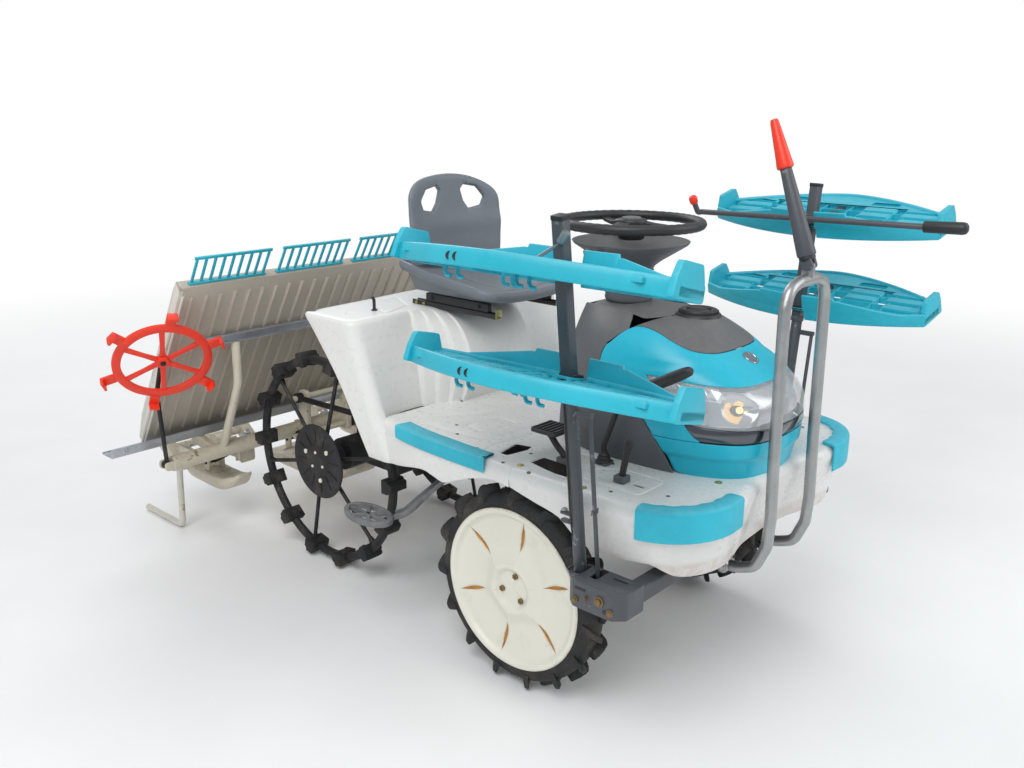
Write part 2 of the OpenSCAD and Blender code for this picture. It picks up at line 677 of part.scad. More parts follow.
ph_x = link_a[0] + link_dx;
rotor_x = -705;
ph_z = link_a[1] + link_dz;
arm_x = ph_x - 50;
arm_y = tray_w / 2 - 14;
stand_x = -560;
stand_z = 240;

module planting_frame() color(cream) at() {
  // hitch plates and pins
  for (s = [-1, 1]) box([ph_x - 24, s * 90 - 8, ph_z - 24], [ph_x + 22, s * 90 + 8, ph_z + 164]);
  ycyl(ph_x, -136, 136, ph_z, 10);
  ycyl(ph_x, -136, 136, link_b[1] + link_dz, 10);
  // cross tube and uprights
  ycyl(ph_x - 50, 16 - arm_y, arm_y - 16, 300, 26);
  for (s = [-1, 1]) box([ph_x - 60, s * 90 - 8, 280], [ph_x - 24, s * 90 + 8, 330]);
  // uprights under the upper rail and arms under the lower rail
  for (s = [-1, 1]) {
    tube([[ph_x - 50, s * 400, 300], [rail_a[0], s * 400, 560], [rail_a[0], s * 400, rail_a[1] - 14]], 14);
    box([rail_b[0] - 30, s * 430 - 10, 300], [ph_x - 50, s * 430 + 10, rail_b[1] - 8]);
  }
  // float hangers with their pins
  for (y = [-float_y, 0, float_y]) {
    rod([float_x, y, float_z], [ph_x - 50, y, 290], 9);
    ycyl(float_x, y - 38, y + 38, float_z, 6);
  }
  // marker pivots and stand sockets at the tube's ends
  for (s = [-1, 1]) mir(s) {
    for (x = [-22, 14]) box([arm_x + x, arm_y - 46, 286], [arm_x + x + 8, arm_y + 16, 314]);
    translate([arm_x - 20, arm_y, 300]) rotate([0, 90, 0]) cylinder(h = 40, r = 8, $fn = 24);
    difference() {
      union() {
        box([stand_x - 14, 474, 220], [stand_x + 14, 489 - e, 290]);
        box([stand_x - 14, 474, 276], [arm_x, 489 - e, 306]);
      }
      ycyl(stand_x, 460, 500, stand_z, 8.05);
    }
  }
  // planting cases running back between the rows
  for (y = [-row_pitch, row_pitch]) {
    box([rotor_x, y - 26, 222], [ph_x - 60, y + 26, 288]);
    ycyl(rotor_x, y - 26, y + 26, rotor_z, 36);
  }
}

// tray plane: a point down its slope from the top rail
tray_x = -568 + tray_len * cos(tray_slope);
tray_z = 348.3 + tray_len * sin(tray_slope);
function tp(d, h) = [tray_x - d * cos(tray_slope) + h * sin(tray_slope), tray_z - d * sin(tray_slope) - h * cos(tray_slope)];

rail_a = tp(tray_len - 445, 8 + 12 * sin(tray_slope) + 14 * cos(tray_slope) + e);
rail_b = [tp(tray_len, 0)[0] + 27, tp(tray_len, 0)[1] - e];

module tray_rails() color(zinc) at() {
  // upper rail, lower outlet rail and their white stays
  a = rail_a;
  b = rail_b;
  box([a[0] - 12, -500, a[1] - 14], [a[0] + 12, 500, a[1] + 14]);
  w = tray_w / 2 + 130;
  box([b[0] - 40, -w, b[1] - 8], [b[0] + 26, w, b[1]]);
  box([b[0] + 18, -w, b[1]], [b[0] + 26, w, b[1] + 22]);
}

module seedling_tray() color([0.72, 0.69, 0.63]) at() {
  translate([tray_x, 0, tray_z]) rotate([0, -tray_slope, 0]) {
    box([-tray_len, -tray_w / 2, 0], [0, tray_w / 2, 8]);
    for (y = [-2:2]) box([-tray_len + 20, y * row_pitch * 1.02 - 4, 8], [0, y * row_pitch * 1.02 + 4, 40]);
    for (i = [0:23]) let (y = (tray_w / 2 - 40) * (i / 11.5 - 1)) box([-tray_len + 30, y - 5, -8], [-40, y + 5, 0]);
    box([-18, -tray_w / 2, 8], [0, tray_w / 2, 34]);
  }
}

module tray_guards() color(teal) at() {
  translate([tray_x, 0, tray_z]) rotate([0, -tray_slope, 0])
    for (k = [-1.5:1:1.5]) translate([0, k * row_pitch * 1.02, 0]) {
      for (i = [-4:4]) box([0, i * 31 - 4, 10], [92, i * 31 + 4, 17]);
      box([92, -132, 10], [102, 132, 17]);
      box([0, -132, 8], [8, 132, 20]);
    }
}

module planting_rotors() color(dark) at() {
  for (y = [-1.5:1:1.5]) translate([0, y * row_pitch * 1, 0]) {
    s = (y == -1.5 || y == 0.5) ? 1 : -1;
    // case and two claws on the side of a planting case
    translate([rotor_x, 0, rotor_z]) rotate([0, 35, 0]) {
      box([-52, -20, -24], [52, 20, 24]);
      for (k = [-1, 1]) {
        ycyl(k * 52, -20, 20, 0, 24, 24);
        mir(s) box([k * 52 - 10, 16, -12], [k * 52 + 10, 42, 50]);
        mir(s) box([k * 52 - 5, 27, 40], [k * 52 + 5, 33, 72]);
      }
    }
  }
  for (y = [-row_pitch, row_pitch]) {
    ycyl(rotor_x, y - 135, y - 26 - e, rotor_z, 14);
    ycyl(rotor_x, y + 26 + e, y + 135, rotor_z, 14);
  }
}

module float_body(x0, x1, w, z) {
  skin([for (r = [[x0, 0.8, 26, 40], [x0 + 40, 1, 6, 46], [x0 + 130, 1, 0, 48], [x1 - 150, 0.95, 0, 48],
      [x1 - 60, 0.8, 26, 62], [x1, 0.5, 66, 80]])
    [for (p = [[-1, 0.5], [-0.8, 0], [0.8, 0], [1, 0.5], [1, 1], [-1, 1]])
      [r[0], p[0] * w / 2 * r[1], z + r[2] + p[1] * (r[3] - r[2])]]]);
}

module float_ears(y) {
  for (s = [-1, 1]) difference() {
    box([float_x - 14, y + s * 28 - 5, 170], [float_x + 14, y + s * 28 + 5, float_z + 11]);
    ycyl(float_x, y - 50, y + 50, float_z, 6.05);
  }
}

module centre_float() color(cream) at() {
  float_body(-640, -165, 220, 130);
  float_ears(0);
}

module side_floats() color(cream) at() {
  for (s = [-1, 1]) mir(s) {
    translate([0, float_y, 0]) float_body(-735, -400, 104, 130);
    float_ears(float_y);
  }
}

star_p = [-285, tray_w / 2 + 48, 690];
star_n = [0.80, 0.34, -0.49] / norm([0.80, 0.34, -0.49]);

module marker_arm(s) at() mir(s) {
  b = star_p - 22 * star_n;
  knee = [arm_x + 44, tray_w / 2 + 20, 560];
  difference() {
    union() {
      translate([arm_x - 13.6, arm_y, 300]) rotate([0, 90, 0]) cylinder(h = 27.2, r = 14, $fn = 24);
      rod([arm_x, arm_y, 300], knee, 7);
    }
    translate([arm_x - 30, arm_y, 300]) rotate([0, 90, 0]) cylinder(h = 60, r = 8.05, $fn = 24);
  }
  translate(knee) sphere(r = 7.6, $fn = 24);
  rod(knee, b, 7);
  rod(b - 7 * star_n, star_p + 13 * star_n, 8);
}

module marker_arm_r() color(dark) marker_arm(-1);
module marker_arm_l() color(dark) marker_arm(1);

module star(s) at() mir(s) translate(star_p) rotate([0, acos(star_n[2]), atan2(star_n[1], star_n[0])]) {
  difference() {
    union() {
      rotate_extrude($fn = 40) translate([118, -6]) square([26, 12]);
      cylinder(h = 22, r = 20, center = true, $fn = 24);
      for (i = [0:5]) rotate(i * 60) box([12, -9, -4], [124, 9, 4]);
      for (i = [0:5]) rotate(i * 60 + 10) box([132, -15, -4.5], [star_r - 14, 15, 4.5]);
      for (i = [0:5]) rotate(i * 60 + 10) box([star_r - 18, -15, -4.5], [star_r - 10, 15, 26]);
    }
    cylinder(h = 40, r = 8.05, center = true, $fn = 24);
  }
}

module star_wheel_r() color(orange) star(-1);
module star_wheel_l() color(orange) star(1);

module parking_stand() color(white) at() {
  for (s = [-1, 1]) mir(s) {
    rod([stand_x, 500, stand_z + 10], [-572, 500, 11.5], 10.5);
    rod([-560, 500, 11.5], [-808, 500, 11.5], 11);
    ycyl(stand_x, 475, 500, stand_z, 8);
  }
}

chassis_frame();
engine_block();
front_axle_case();
rear_axle_case();
hood_shell();
dash_cover();
headlamp_band();
nose_skirt();
front_deck();
step_floor();
deck_pads();
seat_base();
seat_rails();
driver_seat();
column_bowl();
steering_wheel();
hand_levers();
stirrup_steps();
rack_brackets();
rack_post_r();
rack_post_l();
seedling_racks_r();
seedling_racks_l();
front_hoop();
centre_marker();
knuckle_r();
knuckle_l();
front_tyre_r();
front_tyre_l();
front_disc_r();
front_disc_l();
rear_wheel_r();
rear_wheel_l();
lower_links();
upper_link();
planting_frame();
tray_rails();
seedling_tray();
tray_guards();
planting_rotors();
centre_float();
side_floats();
marker_arm_r();
marker_arm_l();
star_wheel_r();
star_wheel_l();
parking_stand();
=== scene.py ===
"""Riding rice transplanter: surfaces, finishes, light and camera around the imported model.

Lengths in the piece builders are millimetres measured from the rear axle, as in the part's
source; at() turns them into the row frame's metres.
"""

import math

import bmesh
import bpy
from mathutils import Matrix, Vector
from mathutils.geometry import delaunay_2d_cdt


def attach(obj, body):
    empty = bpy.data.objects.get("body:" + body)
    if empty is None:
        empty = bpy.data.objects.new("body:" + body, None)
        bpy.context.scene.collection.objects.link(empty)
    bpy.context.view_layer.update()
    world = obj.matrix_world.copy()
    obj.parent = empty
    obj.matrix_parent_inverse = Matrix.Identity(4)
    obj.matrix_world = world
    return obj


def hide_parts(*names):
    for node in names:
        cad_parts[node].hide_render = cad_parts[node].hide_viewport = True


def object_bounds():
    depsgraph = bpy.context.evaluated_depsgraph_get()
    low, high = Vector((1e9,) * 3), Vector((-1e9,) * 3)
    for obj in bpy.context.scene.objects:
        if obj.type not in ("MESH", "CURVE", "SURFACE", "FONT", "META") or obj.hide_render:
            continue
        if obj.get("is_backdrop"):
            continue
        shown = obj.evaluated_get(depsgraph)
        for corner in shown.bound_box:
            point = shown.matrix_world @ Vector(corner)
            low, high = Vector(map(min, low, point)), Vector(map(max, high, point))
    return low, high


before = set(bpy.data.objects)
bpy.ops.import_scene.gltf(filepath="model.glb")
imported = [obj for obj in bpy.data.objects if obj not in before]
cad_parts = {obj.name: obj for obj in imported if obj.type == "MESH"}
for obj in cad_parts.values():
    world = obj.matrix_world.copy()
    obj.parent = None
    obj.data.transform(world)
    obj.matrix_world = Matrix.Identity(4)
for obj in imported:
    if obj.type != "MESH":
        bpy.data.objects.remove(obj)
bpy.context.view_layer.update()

scene = bpy.context.scene

AXLE_BACK = 385.0  # the rear axle lies this far behind the row frame's origin
FRONT_AXLE = 910.0
SIDES = (("r", -1), ("l", 1))


def at(x, y, z):
    """A point given in millimetres from the rear axle, in the row frame's metres."""
    return Vector(((x - AXLE_BACK) / 1000, y / 1000, z / 1000))


# Finishes


class Value:
    """A number socket that can be added, multiplied and compared like a number."""

    def __init__(self, tree, socket):
        self.tree = tree
        self.socket = socket

    def math(self, operation, *others, clamp=False, swap=False):
        node = self.tree.nodes.new("ShaderNodeMath")
        node.operation = operation
        node.use_clamp = clamp
        terms = (self, *others)
        if swap:
            terms = terms[::-1]
        for slot, term in zip(node.inputs, terms):
            plug(self.tree, slot, term)
        return Value(self.tree, node.outputs[0])

    def __add__(self, other):
        return self.math("ADD", other)

    def __sub__(self, other):
        return self.math("SUBTRACT", other)

    def __rsub__(self, other):
        return self.math("SUBTRACT", other, swap=True)

    def __mul__(self, other):
        return self.math("MULTIPLY", other)

    def __truediv__(self, other):
        return self.math("DIVIDE", other)

    def __rtruediv__(self, other):
        return self.math("DIVIDE", other, swap=True)

    def __pow__(self, other):
        return self.math("POWER", other)

    __radd__ = __add__
    __rmul__ = __mul__

    def clamped(self):
        return self.math("ADD", 0.0, clamp=True)

    def most(self, other):
        return self.math("MAXIMUM", other)

    def size(self):
        return self.math("ABSOLUTE")

    def rise(self, low, high):
        """0 below low and 1 above high, smooth between; falls where low is above high."""
        node = self.tree.nodes.new("ShaderNodeMapRange")
        node.interpolation_type = "SMOOTHSTEP"
        plug(self.tree, node.inputs["Value"], self)
        node.inputs["From Min"].default_value = min(low, high)
        node.inputs["From Max"].default_value = max(low, high)
        node.inputs["To Min"].default_value = 0.0 if low < high else 1.0
        node.inputs["To Max"].default_value = 1.0 if low < high else 0.0
        return Value(self.tree, node.outputs["Result"])


def plug(tree, slot, value):
    """Links a socket to the slot, or sets the slot's own number, colour or vector."""
    if isinstance(value, Value):
        tree.links.new(value.socket, slot)
    elif isinstance(value, bpy.types.NodeSocket):
        tree.links.new(value, slot)
    else:
        slot.default_value = value


def rgb(red, green, blue):
    """A colour written as it looks, 0 to 255, in the shader's linear numbers."""
    return tuple(
        (c / 255 / 12.92 if c <= 10 else ((c / 255 + 0.055) / 1.055) ** 2.4) for c in (red, green, blue)
    ) + (1.0,)


class Finish:
    """One material under construction: its nodes, and the shader they end in."""

    def __init__(self, name, **settings):
        self.material = bpy.data.materials.new(name)
        self.material.use_nodes = True
        self.tree = self.material.node_tree
        self.tree.nodes.clear()
        self.shader = self.tree.nodes.new("ShaderNodeBsdfPrincipled")
        out = self.tree.nodes.new("ShaderNodeOutputMaterial")
        self.tree.links.new(self.shader.outputs[0], out.inputs[0])
        self.height = None
        self.set(**settings)

    def set(self, **settings):
        for key, value in settings.items():
            plug(self.tree, self.shader.inputs[key.replace("_", " ")], value)

    def node(self, kind, settings=(), out=0, **inputs):
        """Adds a node by its type; settings are attributes, or stops for a ramp."""
        node = self.tree.nodes.new("ShaderNode" + kind)
        for key, value in dict(settings).items():
            if key == "stops":
                ramp = node.color_ramp
                while len(ramp.elements) < len(value):
                    ramp.elements.new(0.5)
                for element, (place, colour) in zip(ramp.elements, value):
                    element.position, element.color = place, colour
            else:
                setattr(node, key, value)
        for key, value in inputs.items():
            numbered = key[0] == "i" and key[1:].isdigit()
            slot = node.inputs[int(key[1:]) if numbered else key.replace("_", " ")]
            plug(self.tree, slot, value)
        return Value(self.tree, node.outputs[out])

    def place(self, centre=(0, 0, 0), stretch=(1, 1, 1), turn=(0, 0, 0)):
        """Object coordinates, moved so that centre is their origin, then stretched."""
        coords = self.node("TexCoord", out="Object")
        moved = self.node("VectorMath", {"operation": "SUBTRACT"}, i0=coords, i1=tuple(centre))
        return self.node("Mapping", Vector=moved, Rotation=turn, Scale=stretch)

    def axes(self, centre=(0, 0, 0)):
        """The three coordinates from a centre as separate values."""
        node = self.tree.nodes.new("ShaderNodeSeparateXYZ")
        plug(self.tree, node.inputs[0], self.place(centre))
        return [Value(self.tree, o) for o in node.outputs]

    def facing(self):
        """The surface normal's three parts."""
        node = self.tree.nodes.new("ShaderNodeSeparateXYZ")
        plug(self.tree, node.inputs[0], self.node("NewGeometry", out="Normal"))
        return [Value(self.tree, o) for o in node.outputs]

    def noise(self, scale, detail=4.0, rough=0.55, stretch=(1, 1, 1), seed=0.0):
        vector = self.place((seed, seed * 0.7, -seed), stretch)
        return self.node("TexNoise", Vector=vector, Scale=scale, Detail=detail, Roughness=rough)

    def mix(self, share, first, second, kind="MIX"):
        node = self.tree.nodes.new("ShaderNodeMix")
        node.data_type = "RGBA"
        node.blend_type = kind
        for slot, value in ((0, share), (6, first), (7, second)):
            plug(self.tree, node.inputs[slot], value)
        return Value(self.tree, node.outputs[2])

    def bump(self, height, depth):
        """Adds relief; depth is in metres for a height of 1."""
        term = height * depth
        self.height = term if self.height is None else self.height + term
        return self

    def done(self):
        if self.height is not None:
            normal = self.node("Bump", Strength=1.0, Distance=1.0, Height=self.height)
            self.set(Normal=normal)
        return self.material


def paint(name, colour, rough=0.35, dust=0.15, dust_colour=rgb(150, 143, 130), speckle=0.0, peel=0.00006,
          vary=0.06, coat=0.0, metallic=0.0, wear=0.0, wear_colour=rgb(150, 150, 148), low_dirt=0.0):
    """Moulded plastic or paint: slow colour shifts, dust on what faces up, fine orange peel."""
    f = Finish(name, Metallic=metallic, Coat_Weight=coat, Coat_Roughness=0.12)
    slow = f.noise(3.2, 3.0)
    fine = f.noise(55.0, 6.0, 0.65)
    grit = f.noise(420.0, 3.0, 0.6)
    dark = tuple(c * (1 - 1.6 * vary) for c in colour[:3]) + (1.0,)
    pale = tuple(min(1.0, c * (1 + vary)) for c in colour[:3]) + (1.0,)
    shade = f.mix((slow * 0.7 + fine * 0.3).rise(0.32, 0.68), dark, pale)
    up = f.facing()[2].rise(0.15, 0.95)
    film = (up * dust * (fine * 1.6 - 0.25).clamped()) + dust * 0.25 * slow
    if low_dirt:
        height = f.axes()[2]
        film = film + height.rise(0.62, 0.1) * low_dirt * (fine * 1.5 - 0.2).clamped()
    if speckle:
        film = film + (grit - 0.66).rise(0.0, 0.06) * speckle * fine.rise(0.4, 0.6)
    film = film.clamped()
    shade = f.mix(film, shade, dust_colour)
    if wear:
        worn = (f.noise(24.0, 8.0, 0.7, seed=3.0) - 0.62).rise(0.0, 0.03) * wear
        shade = f.mix(worn, shade, wear_colour)
    f.set(Base_Color=shade, Roughness=(film * 0.35 + rough + (fine - 0.5) * 0.12).clamped())
    f.bump(grit, peel)
    f.bump(fine, peel * 3)
    return f.done()


def rubber(name):
    """Black tyre rubber with dried soil in its hollows and on its tread."""
    f = Finish(name)
    soil = f.noise(9.0, 8.0, 0.65)
    grit = f.noise(240.0, 5.0, 0.7)
    mask = (soil * 0.65 + grit * 0.35 - 0.5).rise(-0.02, 0.16) * 0.5
    shade = f.mix(mask, rgb(30, 30, 31), rgb(104, 98, 90))
    f.set(Base_Color=shade, Roughness=0.68 + mask * 0.28)
    f.bump(grit, 0.0003)
    f.bump(soil, 0.0012)
    return f.done()


def zinc(name, colour=rgb(176, 178, 178), rough=0.38, metallic=0.85, yellow=0.0):
    """Plated or bare steel tube: fine streaks, dull spots, a touch of yellow passivation."""
    f = Finish(name, Metallic=metallic)
    cloud = f.noise(14.0, 6.0, 0.6)
    spots = f.noise(130.0, 4.0, 0.7, seed=2.0)
    shade = f.mix(cloud.rise(0.3, 0.7), tuple(c * 0.82 for c in colour[:3]) + (1.0,), colour)
    if yellow:
        shade = f.mix(f.noise(6.0, 4.0, seed=5.0).rise(0.35, 0.65) * yellow, shade, rgb(190, 190, 130))
    spot = (spots - 0.63).rise(0.0, 0.08) * 0.55
    shade = f.mix(spot, shade, rgb(104, 98, 88))
    f.set(Base_Color=shade, Roughness=(cloud - 0.5) * 0.2 + rough + spot * 0.3)
    f.bump(spots, 0.00012)
    return f.done()


def cast(name, colour, soil_colour=rgb(120, 108, 90), soil=0.35, rough=0.6):
    """Painted or bare casting: sand-cast grain, oily darks and dried soil in patches."""
    f = Finish(name, Metallic=0.15)
    patch = f.noise(16.0, 7.0, 0.65)
    grain = f.noise(160.0, 5.0, 0.7)
    dark = tuple(c * 0.6 for c in colour[:3]) + (1.0,)
    shade = f.mix(patch.rise(0.35, 0.7), dark, colour)
    crust = ((patch * 0.6 + grain * 0.4) - 0.52).rise(0.0, 0.12) * soil
    shade = f.mix(crust, shade, soil_colour)
    f.set(Base_Color=shade, Roughness=rough + crust * 0.3)
    f.bump(grain, 0.0004)
    f.bump(patch, 0.0006)
    return f.done()


TEAL = paint("turquoise moulding", rgb(18, 186, 212), 0.30, 0.10, rgb(150, 190, 195), speckle=0.10, vary=0.05)
TEAL_MATT = paint("turquoise rack moulding", rgb(22, 180, 202), 0.42, 0.26, rgb(160, 198, 200),
                  speckle=0.22, vary=0.07)
WHITE = paint("white panel", rgb(232, 232, 228), 0.28, 0.10, rgb(186, 180, 168), speckle=0.03, vary=0.015,
              low_dirt=0.10)
TEAL_PAD = paint("turquoise grip pads", rgb(24, 186, 210), 0.5, 0.3, rgb(160, 196, 196), speckle=0.35,
                 vary=0.10, peel=0.0002)


def white_deck():
    """White moulding, foot-worn on top, with a reddish-brown band painted along its lower edge."""
    f = Finish("white deck moulding", Coat_Weight=0.12, Coat_Roughness=0.2)
    slow, fine, grit = f.noise(3.0, 3.0), f.noise(48.0, 6.0, 0.65), f.noise(380.0, 3.0, 0.6)
    height = f.axes()[2]
    up = f.facing()[2].rise(0.3, 0.95)
    streak = f.noise(10.0, 5.0, 0.6, stretch=(1.0, 1.0, 0.12), seed=4.0)
    scuff = f.noise(30.0, 8.0, 0.75, stretch=(0.3, 1.0, 1.0), seed=2.0).rise(0.6, 0.76) * up * 0.18
    film = up * fine.rise(0.35, 0.75) * 0.12 + (1 - up) * streak.rise(0.45, 0.8) * 0.12 + slow * 0.04
    specks = (grit - 0.68).rise(0.0, 0.05) * fine.rise(0.45, 0.6) * 0.08
    # reddish-brown band painted into the colour below about 0.47 m, along the lower edge
    line = (height + (streak - 0.5) * 0.012).rise(0.478, 0.462) * fine.rise(0.3, 0.6) * 0.30
    shade = f.mix(slow, rgb(226, 226, 222), rgb(234, 234, 231))
    shade = f.mix((film + specks).clamped(), shade, rgb(178, 172, 160))
    shade = f.mix(scuff, shade, rgb(150, 148, 144))
    shade = f.mix(line, shade, rgb(168, 118, 92))
    f.set(Base_Color=shade, Roughness=(film * 0.4 + scuff * 0.3 + 0.27 + (fine - 0.5) * 0.1).clamped())
    f.bump(grit, 0.00005)
    f.bump(fine, 0.00015)
    return f.done()


WHITE_DECK = white_deck()
GREY_SEAT = paint("grey seat moulding", rgb(112, 119, 126), 0.46, 0.12, rgb(160, 160, 156), vary=0.05,
                  peel=0.00016)
GREY_DASH = paint("grey dash moulding", rgb(92, 95, 99), 0.48, 0.22, rgb(158, 152, 142), vary=0.06,
                  peel=0.00016)
POST = paint("grey post paint", rgb(74, 78, 84), 0.42, 0.16, rgb(130, 128, 122), vary=0.08, wear=0.5)
BLACK = paint("black plastic", rgb(38, 38, 40), 0.45, 0.18, rgb(110, 108, 104), vary=0.08, peel=0.0001)
CHASSIS = cast("black chassis paint", rgb(42, 42, 44))
CASTING = cast("grey casting", rgb(120, 122, 124), soil=0.45)
CREAM = paint("off-white casting paint", rgb(222, 216, 196), 0.38, 0.30, rgb(142, 122, 92), speckle=0.5,
              vary=0.05, wear=0.8, wear_colour=rgb(120, 92, 62), low_dirt=0.45)
TRAY = paint("beige tray panel", rgb(190, 182, 168), 0.36, 0.25, rgb(150, 138, 116), speckle=0.5, vary=0.05)
ORANGE = paint("orange marker plastic", rgb(246, 58, 30), 0.34, 0.05, rgb(210, 150, 130), vary=0.04)
TUBE_WHITE = paint("white painted tube", rgb(226, 224, 214), 0.34, 0.25, rgb(150, 138, 116), speckle=0.4,
                   vary=0.04, wear=0.6, wear_colour=rgb(130, 104, 76), low_dirt=0.3)
ZINC = zinc("galvanised tube")
RAIL = zinc("bright rail", rgb(196, 200, 206), 0.33, 0.7)
RUBBER = rubber("tyre rubber")
DISC = paint("cream disc paint", rgb(232, 226, 208), 0.30, 0.12, rgb(170, 160, 140), speckle=0.15, vary=0.02)
GREY_LEG = cast("grey cast steps", rgb(128, 130, 132), soil=0.4)
RUSTY = zinc("brown plated nuts", rgb(140, 118, 84), 0.5, 0.7)
CHROME = paint("silver reflector", rgb(214, 216, 218), 0.16, 0.02, vary=0.02, metallic=0.95, peel=0.00002)
DARK_CHROME = paint("dark chrome strip", rgb(92, 96, 102), 0.14, 0.05, vary=0.04, metallic=0.9, coat=0.6,
                    peel=0.00002)
BADGE = paint("bare silver badge", rgb(168, 172, 176), 0.25, 0.04, vary=0.03, metallic=0.85, peel=0.00003)
YELLOW_ZINC = zinc("yellow plated bracket", rgb(186, 178, 104), 0.36, 0.75, yellow=0.6)


def clear_cover():
    """Clear lamp plastic: mostly see-through, with a bright skin and a little haze."""
    f = Finish("clear lamp cover", Coat_Weight=1.0, Coat_Roughness=0.04, Alpha=0.26)
    haze = f.noise(26.0, 5.0, 0.6)
    f.set(Base_Color=f.mix(haze, rgb(216, 222, 226), rgb(236, 240, 242)), Roughness=0.05 + haze * 0.08)
    return f.done()


def lit_bulb():
    """A warm lit bulb, brighter at its middle."""
    f = Finish("warm bulb", Roughness=0.2, Emission_Strength=1.5)
    glow = f.noise(300.0, 2.0)
    f.set(Base_Color=rgb(250, 214, 160), Emission_Color=f.mix(glow, rgb(255, 176, 70), rgb(255, 214, 130)))
    return f.done()


GLASS, BULB = clear_cover(), lit_bulb()
LENS = paint("lamp lens", rgb(205, 210, 214), 0.12, 0.05, coat=1.0)

NODE_FINISH = {"chassis_frame": CHASSIS, "engine_block": CASTING, "front_axle_case": CHASSIS,
               "rear_axle_case": CHASSIS, "hood_shell": TEAL, "dash_cover": GREY_DASH,
               "headlamp_band": LENS, "nose_skirt": TEAL, "front_deck": WHITE, "step_floor": WHITE,
               "deck_pads": TEAL, "seat_base": WHITE, "seat_rails": POST, "driver_seat": GREY_SEAT,
               "column_bowl": GREY_DASH, "steering_wheel": BLACK, "hand_levers": BLACK,
               "stirrup_steps": CASTING, "rack_brackets": POST, "rack_post_r": POST, "rack_post_l": POST,
               "seedling_racks_r": TEAL_MATT, "seedling_racks_l": TEAL_MATT, "front_hoop": ZINC,
               "centre_marker": GREY_DASH, "knuckle_r": CHASSIS, "knuckle_l": CHASSIS,
               "front_tyre_r": RUBBER, "front_tyre_l": RUBBER, "front_disc_r": DISC, "front_disc_l": DISC,
               "rear_wheel_r": RUBBER, "rear_wheel_l": RUBBER, "lower_links": CHASSIS,
               "upper_link": CHASSIS, "planting_frame": CREAM, "tray_rails": RAIL, "seedling_tray": TRAY,
               "tray_guards": TEAL, "planting_rotors": CHASSIS, "centre_float": CREAM, "side_floats": CREAM,
               "marker_arm_r": CHASSIS, "marker_arm_l": CHASSIS, "star_wheel_r": ORANGE,
               "star_wheel_l": ORANGE, "parking_stand": TUBE_WHITE, }
for node_name, finish in NODE_FINISH.items():
    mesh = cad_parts[node_name].data
    mesh.materials.clear()
    mesh.materials.append(finish)


# Mesh helpers


def arc_path(points, bend, steps=6):
    """A path through the points with its corners rounded to the bend radius."""
    points = [Vector(p) for p in points]
    path = [points[0]]
    for before, corner, after in zip(points, points[1:], points[2:]):
        back, ahead = (before - corner), (after - corner)
        angle = back.angle(ahead)
        if angle > math.pi - 0.02:
            path.append(corner)
            continue
        reach = min(bend / math.tan(angle / 2), back.length * 0.49, ahead.length * 0.49)
        start, end = corner + back.normalized() * reach, corner + ahead.normalized() * reach
        for i in range(steps + 1):
            t = i / steps
            path.append(start.lerp(corner, t).lerp(corner.lerp(end, t), t))
    path.append(points[-1])
    return path


def shell(rings, closed=True, cap=True):
    """Vertices and faces of a skin over rings of equal length."""
    count = len(rings[0])
    verts = [Vector(v) for ring in rings for v in ring]
    faces = []
    span = count if closed else count - 1
    for r in range(len(rings) - 1):
        for i in range(span):
            j = (i + 1) % count
            faces.append((r * count + i, r * count + j, (r + 1) * count + j, (r + 1) * count + i))
    if cap and closed:
        faces.append(tuple(range(count))[::-1])
        faces.append(tuple(range((len(rings) - 1) * count, len(rings) * count)))
    return verts, faces


def tube(points, radius, bend=0.0, sides=20, radii=None):
    """A round rod along a path; radii may give its radius at each point of a straight path."""
    path = arc_path(points, bend) if bend else [Vector(p) for p in points]
    rings = []
    tangent = (path[1] - path[0]).normalized()
    side = tangent.orthogonal().normalized()
    for i, centre in enumerate(path):
        ahead = (path[min(i + 1, len(path) - 1)] - path[max(i - 1, 0)]).normalized()
        side = (side - ahead * side.dot(ahead)).normalized()
        other = ahead.cross(side)
        r = radii[i] if radii else radius
        rings.append([centre + (side * math.cos(a) + other * math.sin(a)) * r
                      for a in (2 * math.pi * k / sides for k in range(sides))])
    return shell(rings)


def turned(profile, centre, axis, sides=48, closed=False):
    """A solid of revolution: profile gives (distance along the axis, radius) pairs."""
    axis = Vector(axis).normalized()
    side = axis.orthogonal().normalized()
    other = axis.cross(side)
    centre = Vector(centre)
    rings = [[centre + axis * along + (side * math.cos(a) + other * math.sin(a)) * max(radius, 1e-5)
              for a in (2 * math.pi * k / sides for k in range(sides))] for along, radius in profile]
    if closed:
        rings.append(rings[0])
    return shell(rings, cap=not closed)


def block(low, high):
    """A box between two corners."""
    (a, b, c), (d, e, f) = low, high
    verts = [Vector(v) for v in ((a, b, c), (d, b, c), (d, e, c), (a, e, c), (a, b, f), (d, b, f),
                                 (d, e, f), (a, e, f))]
    return verts, [(3, 2, 1, 0), (4, 5, 6, 7), (0, 1, 5, 4), (1, 2, 6, 5), (2, 3, 7, 6), (3, 0, 4, 7)]


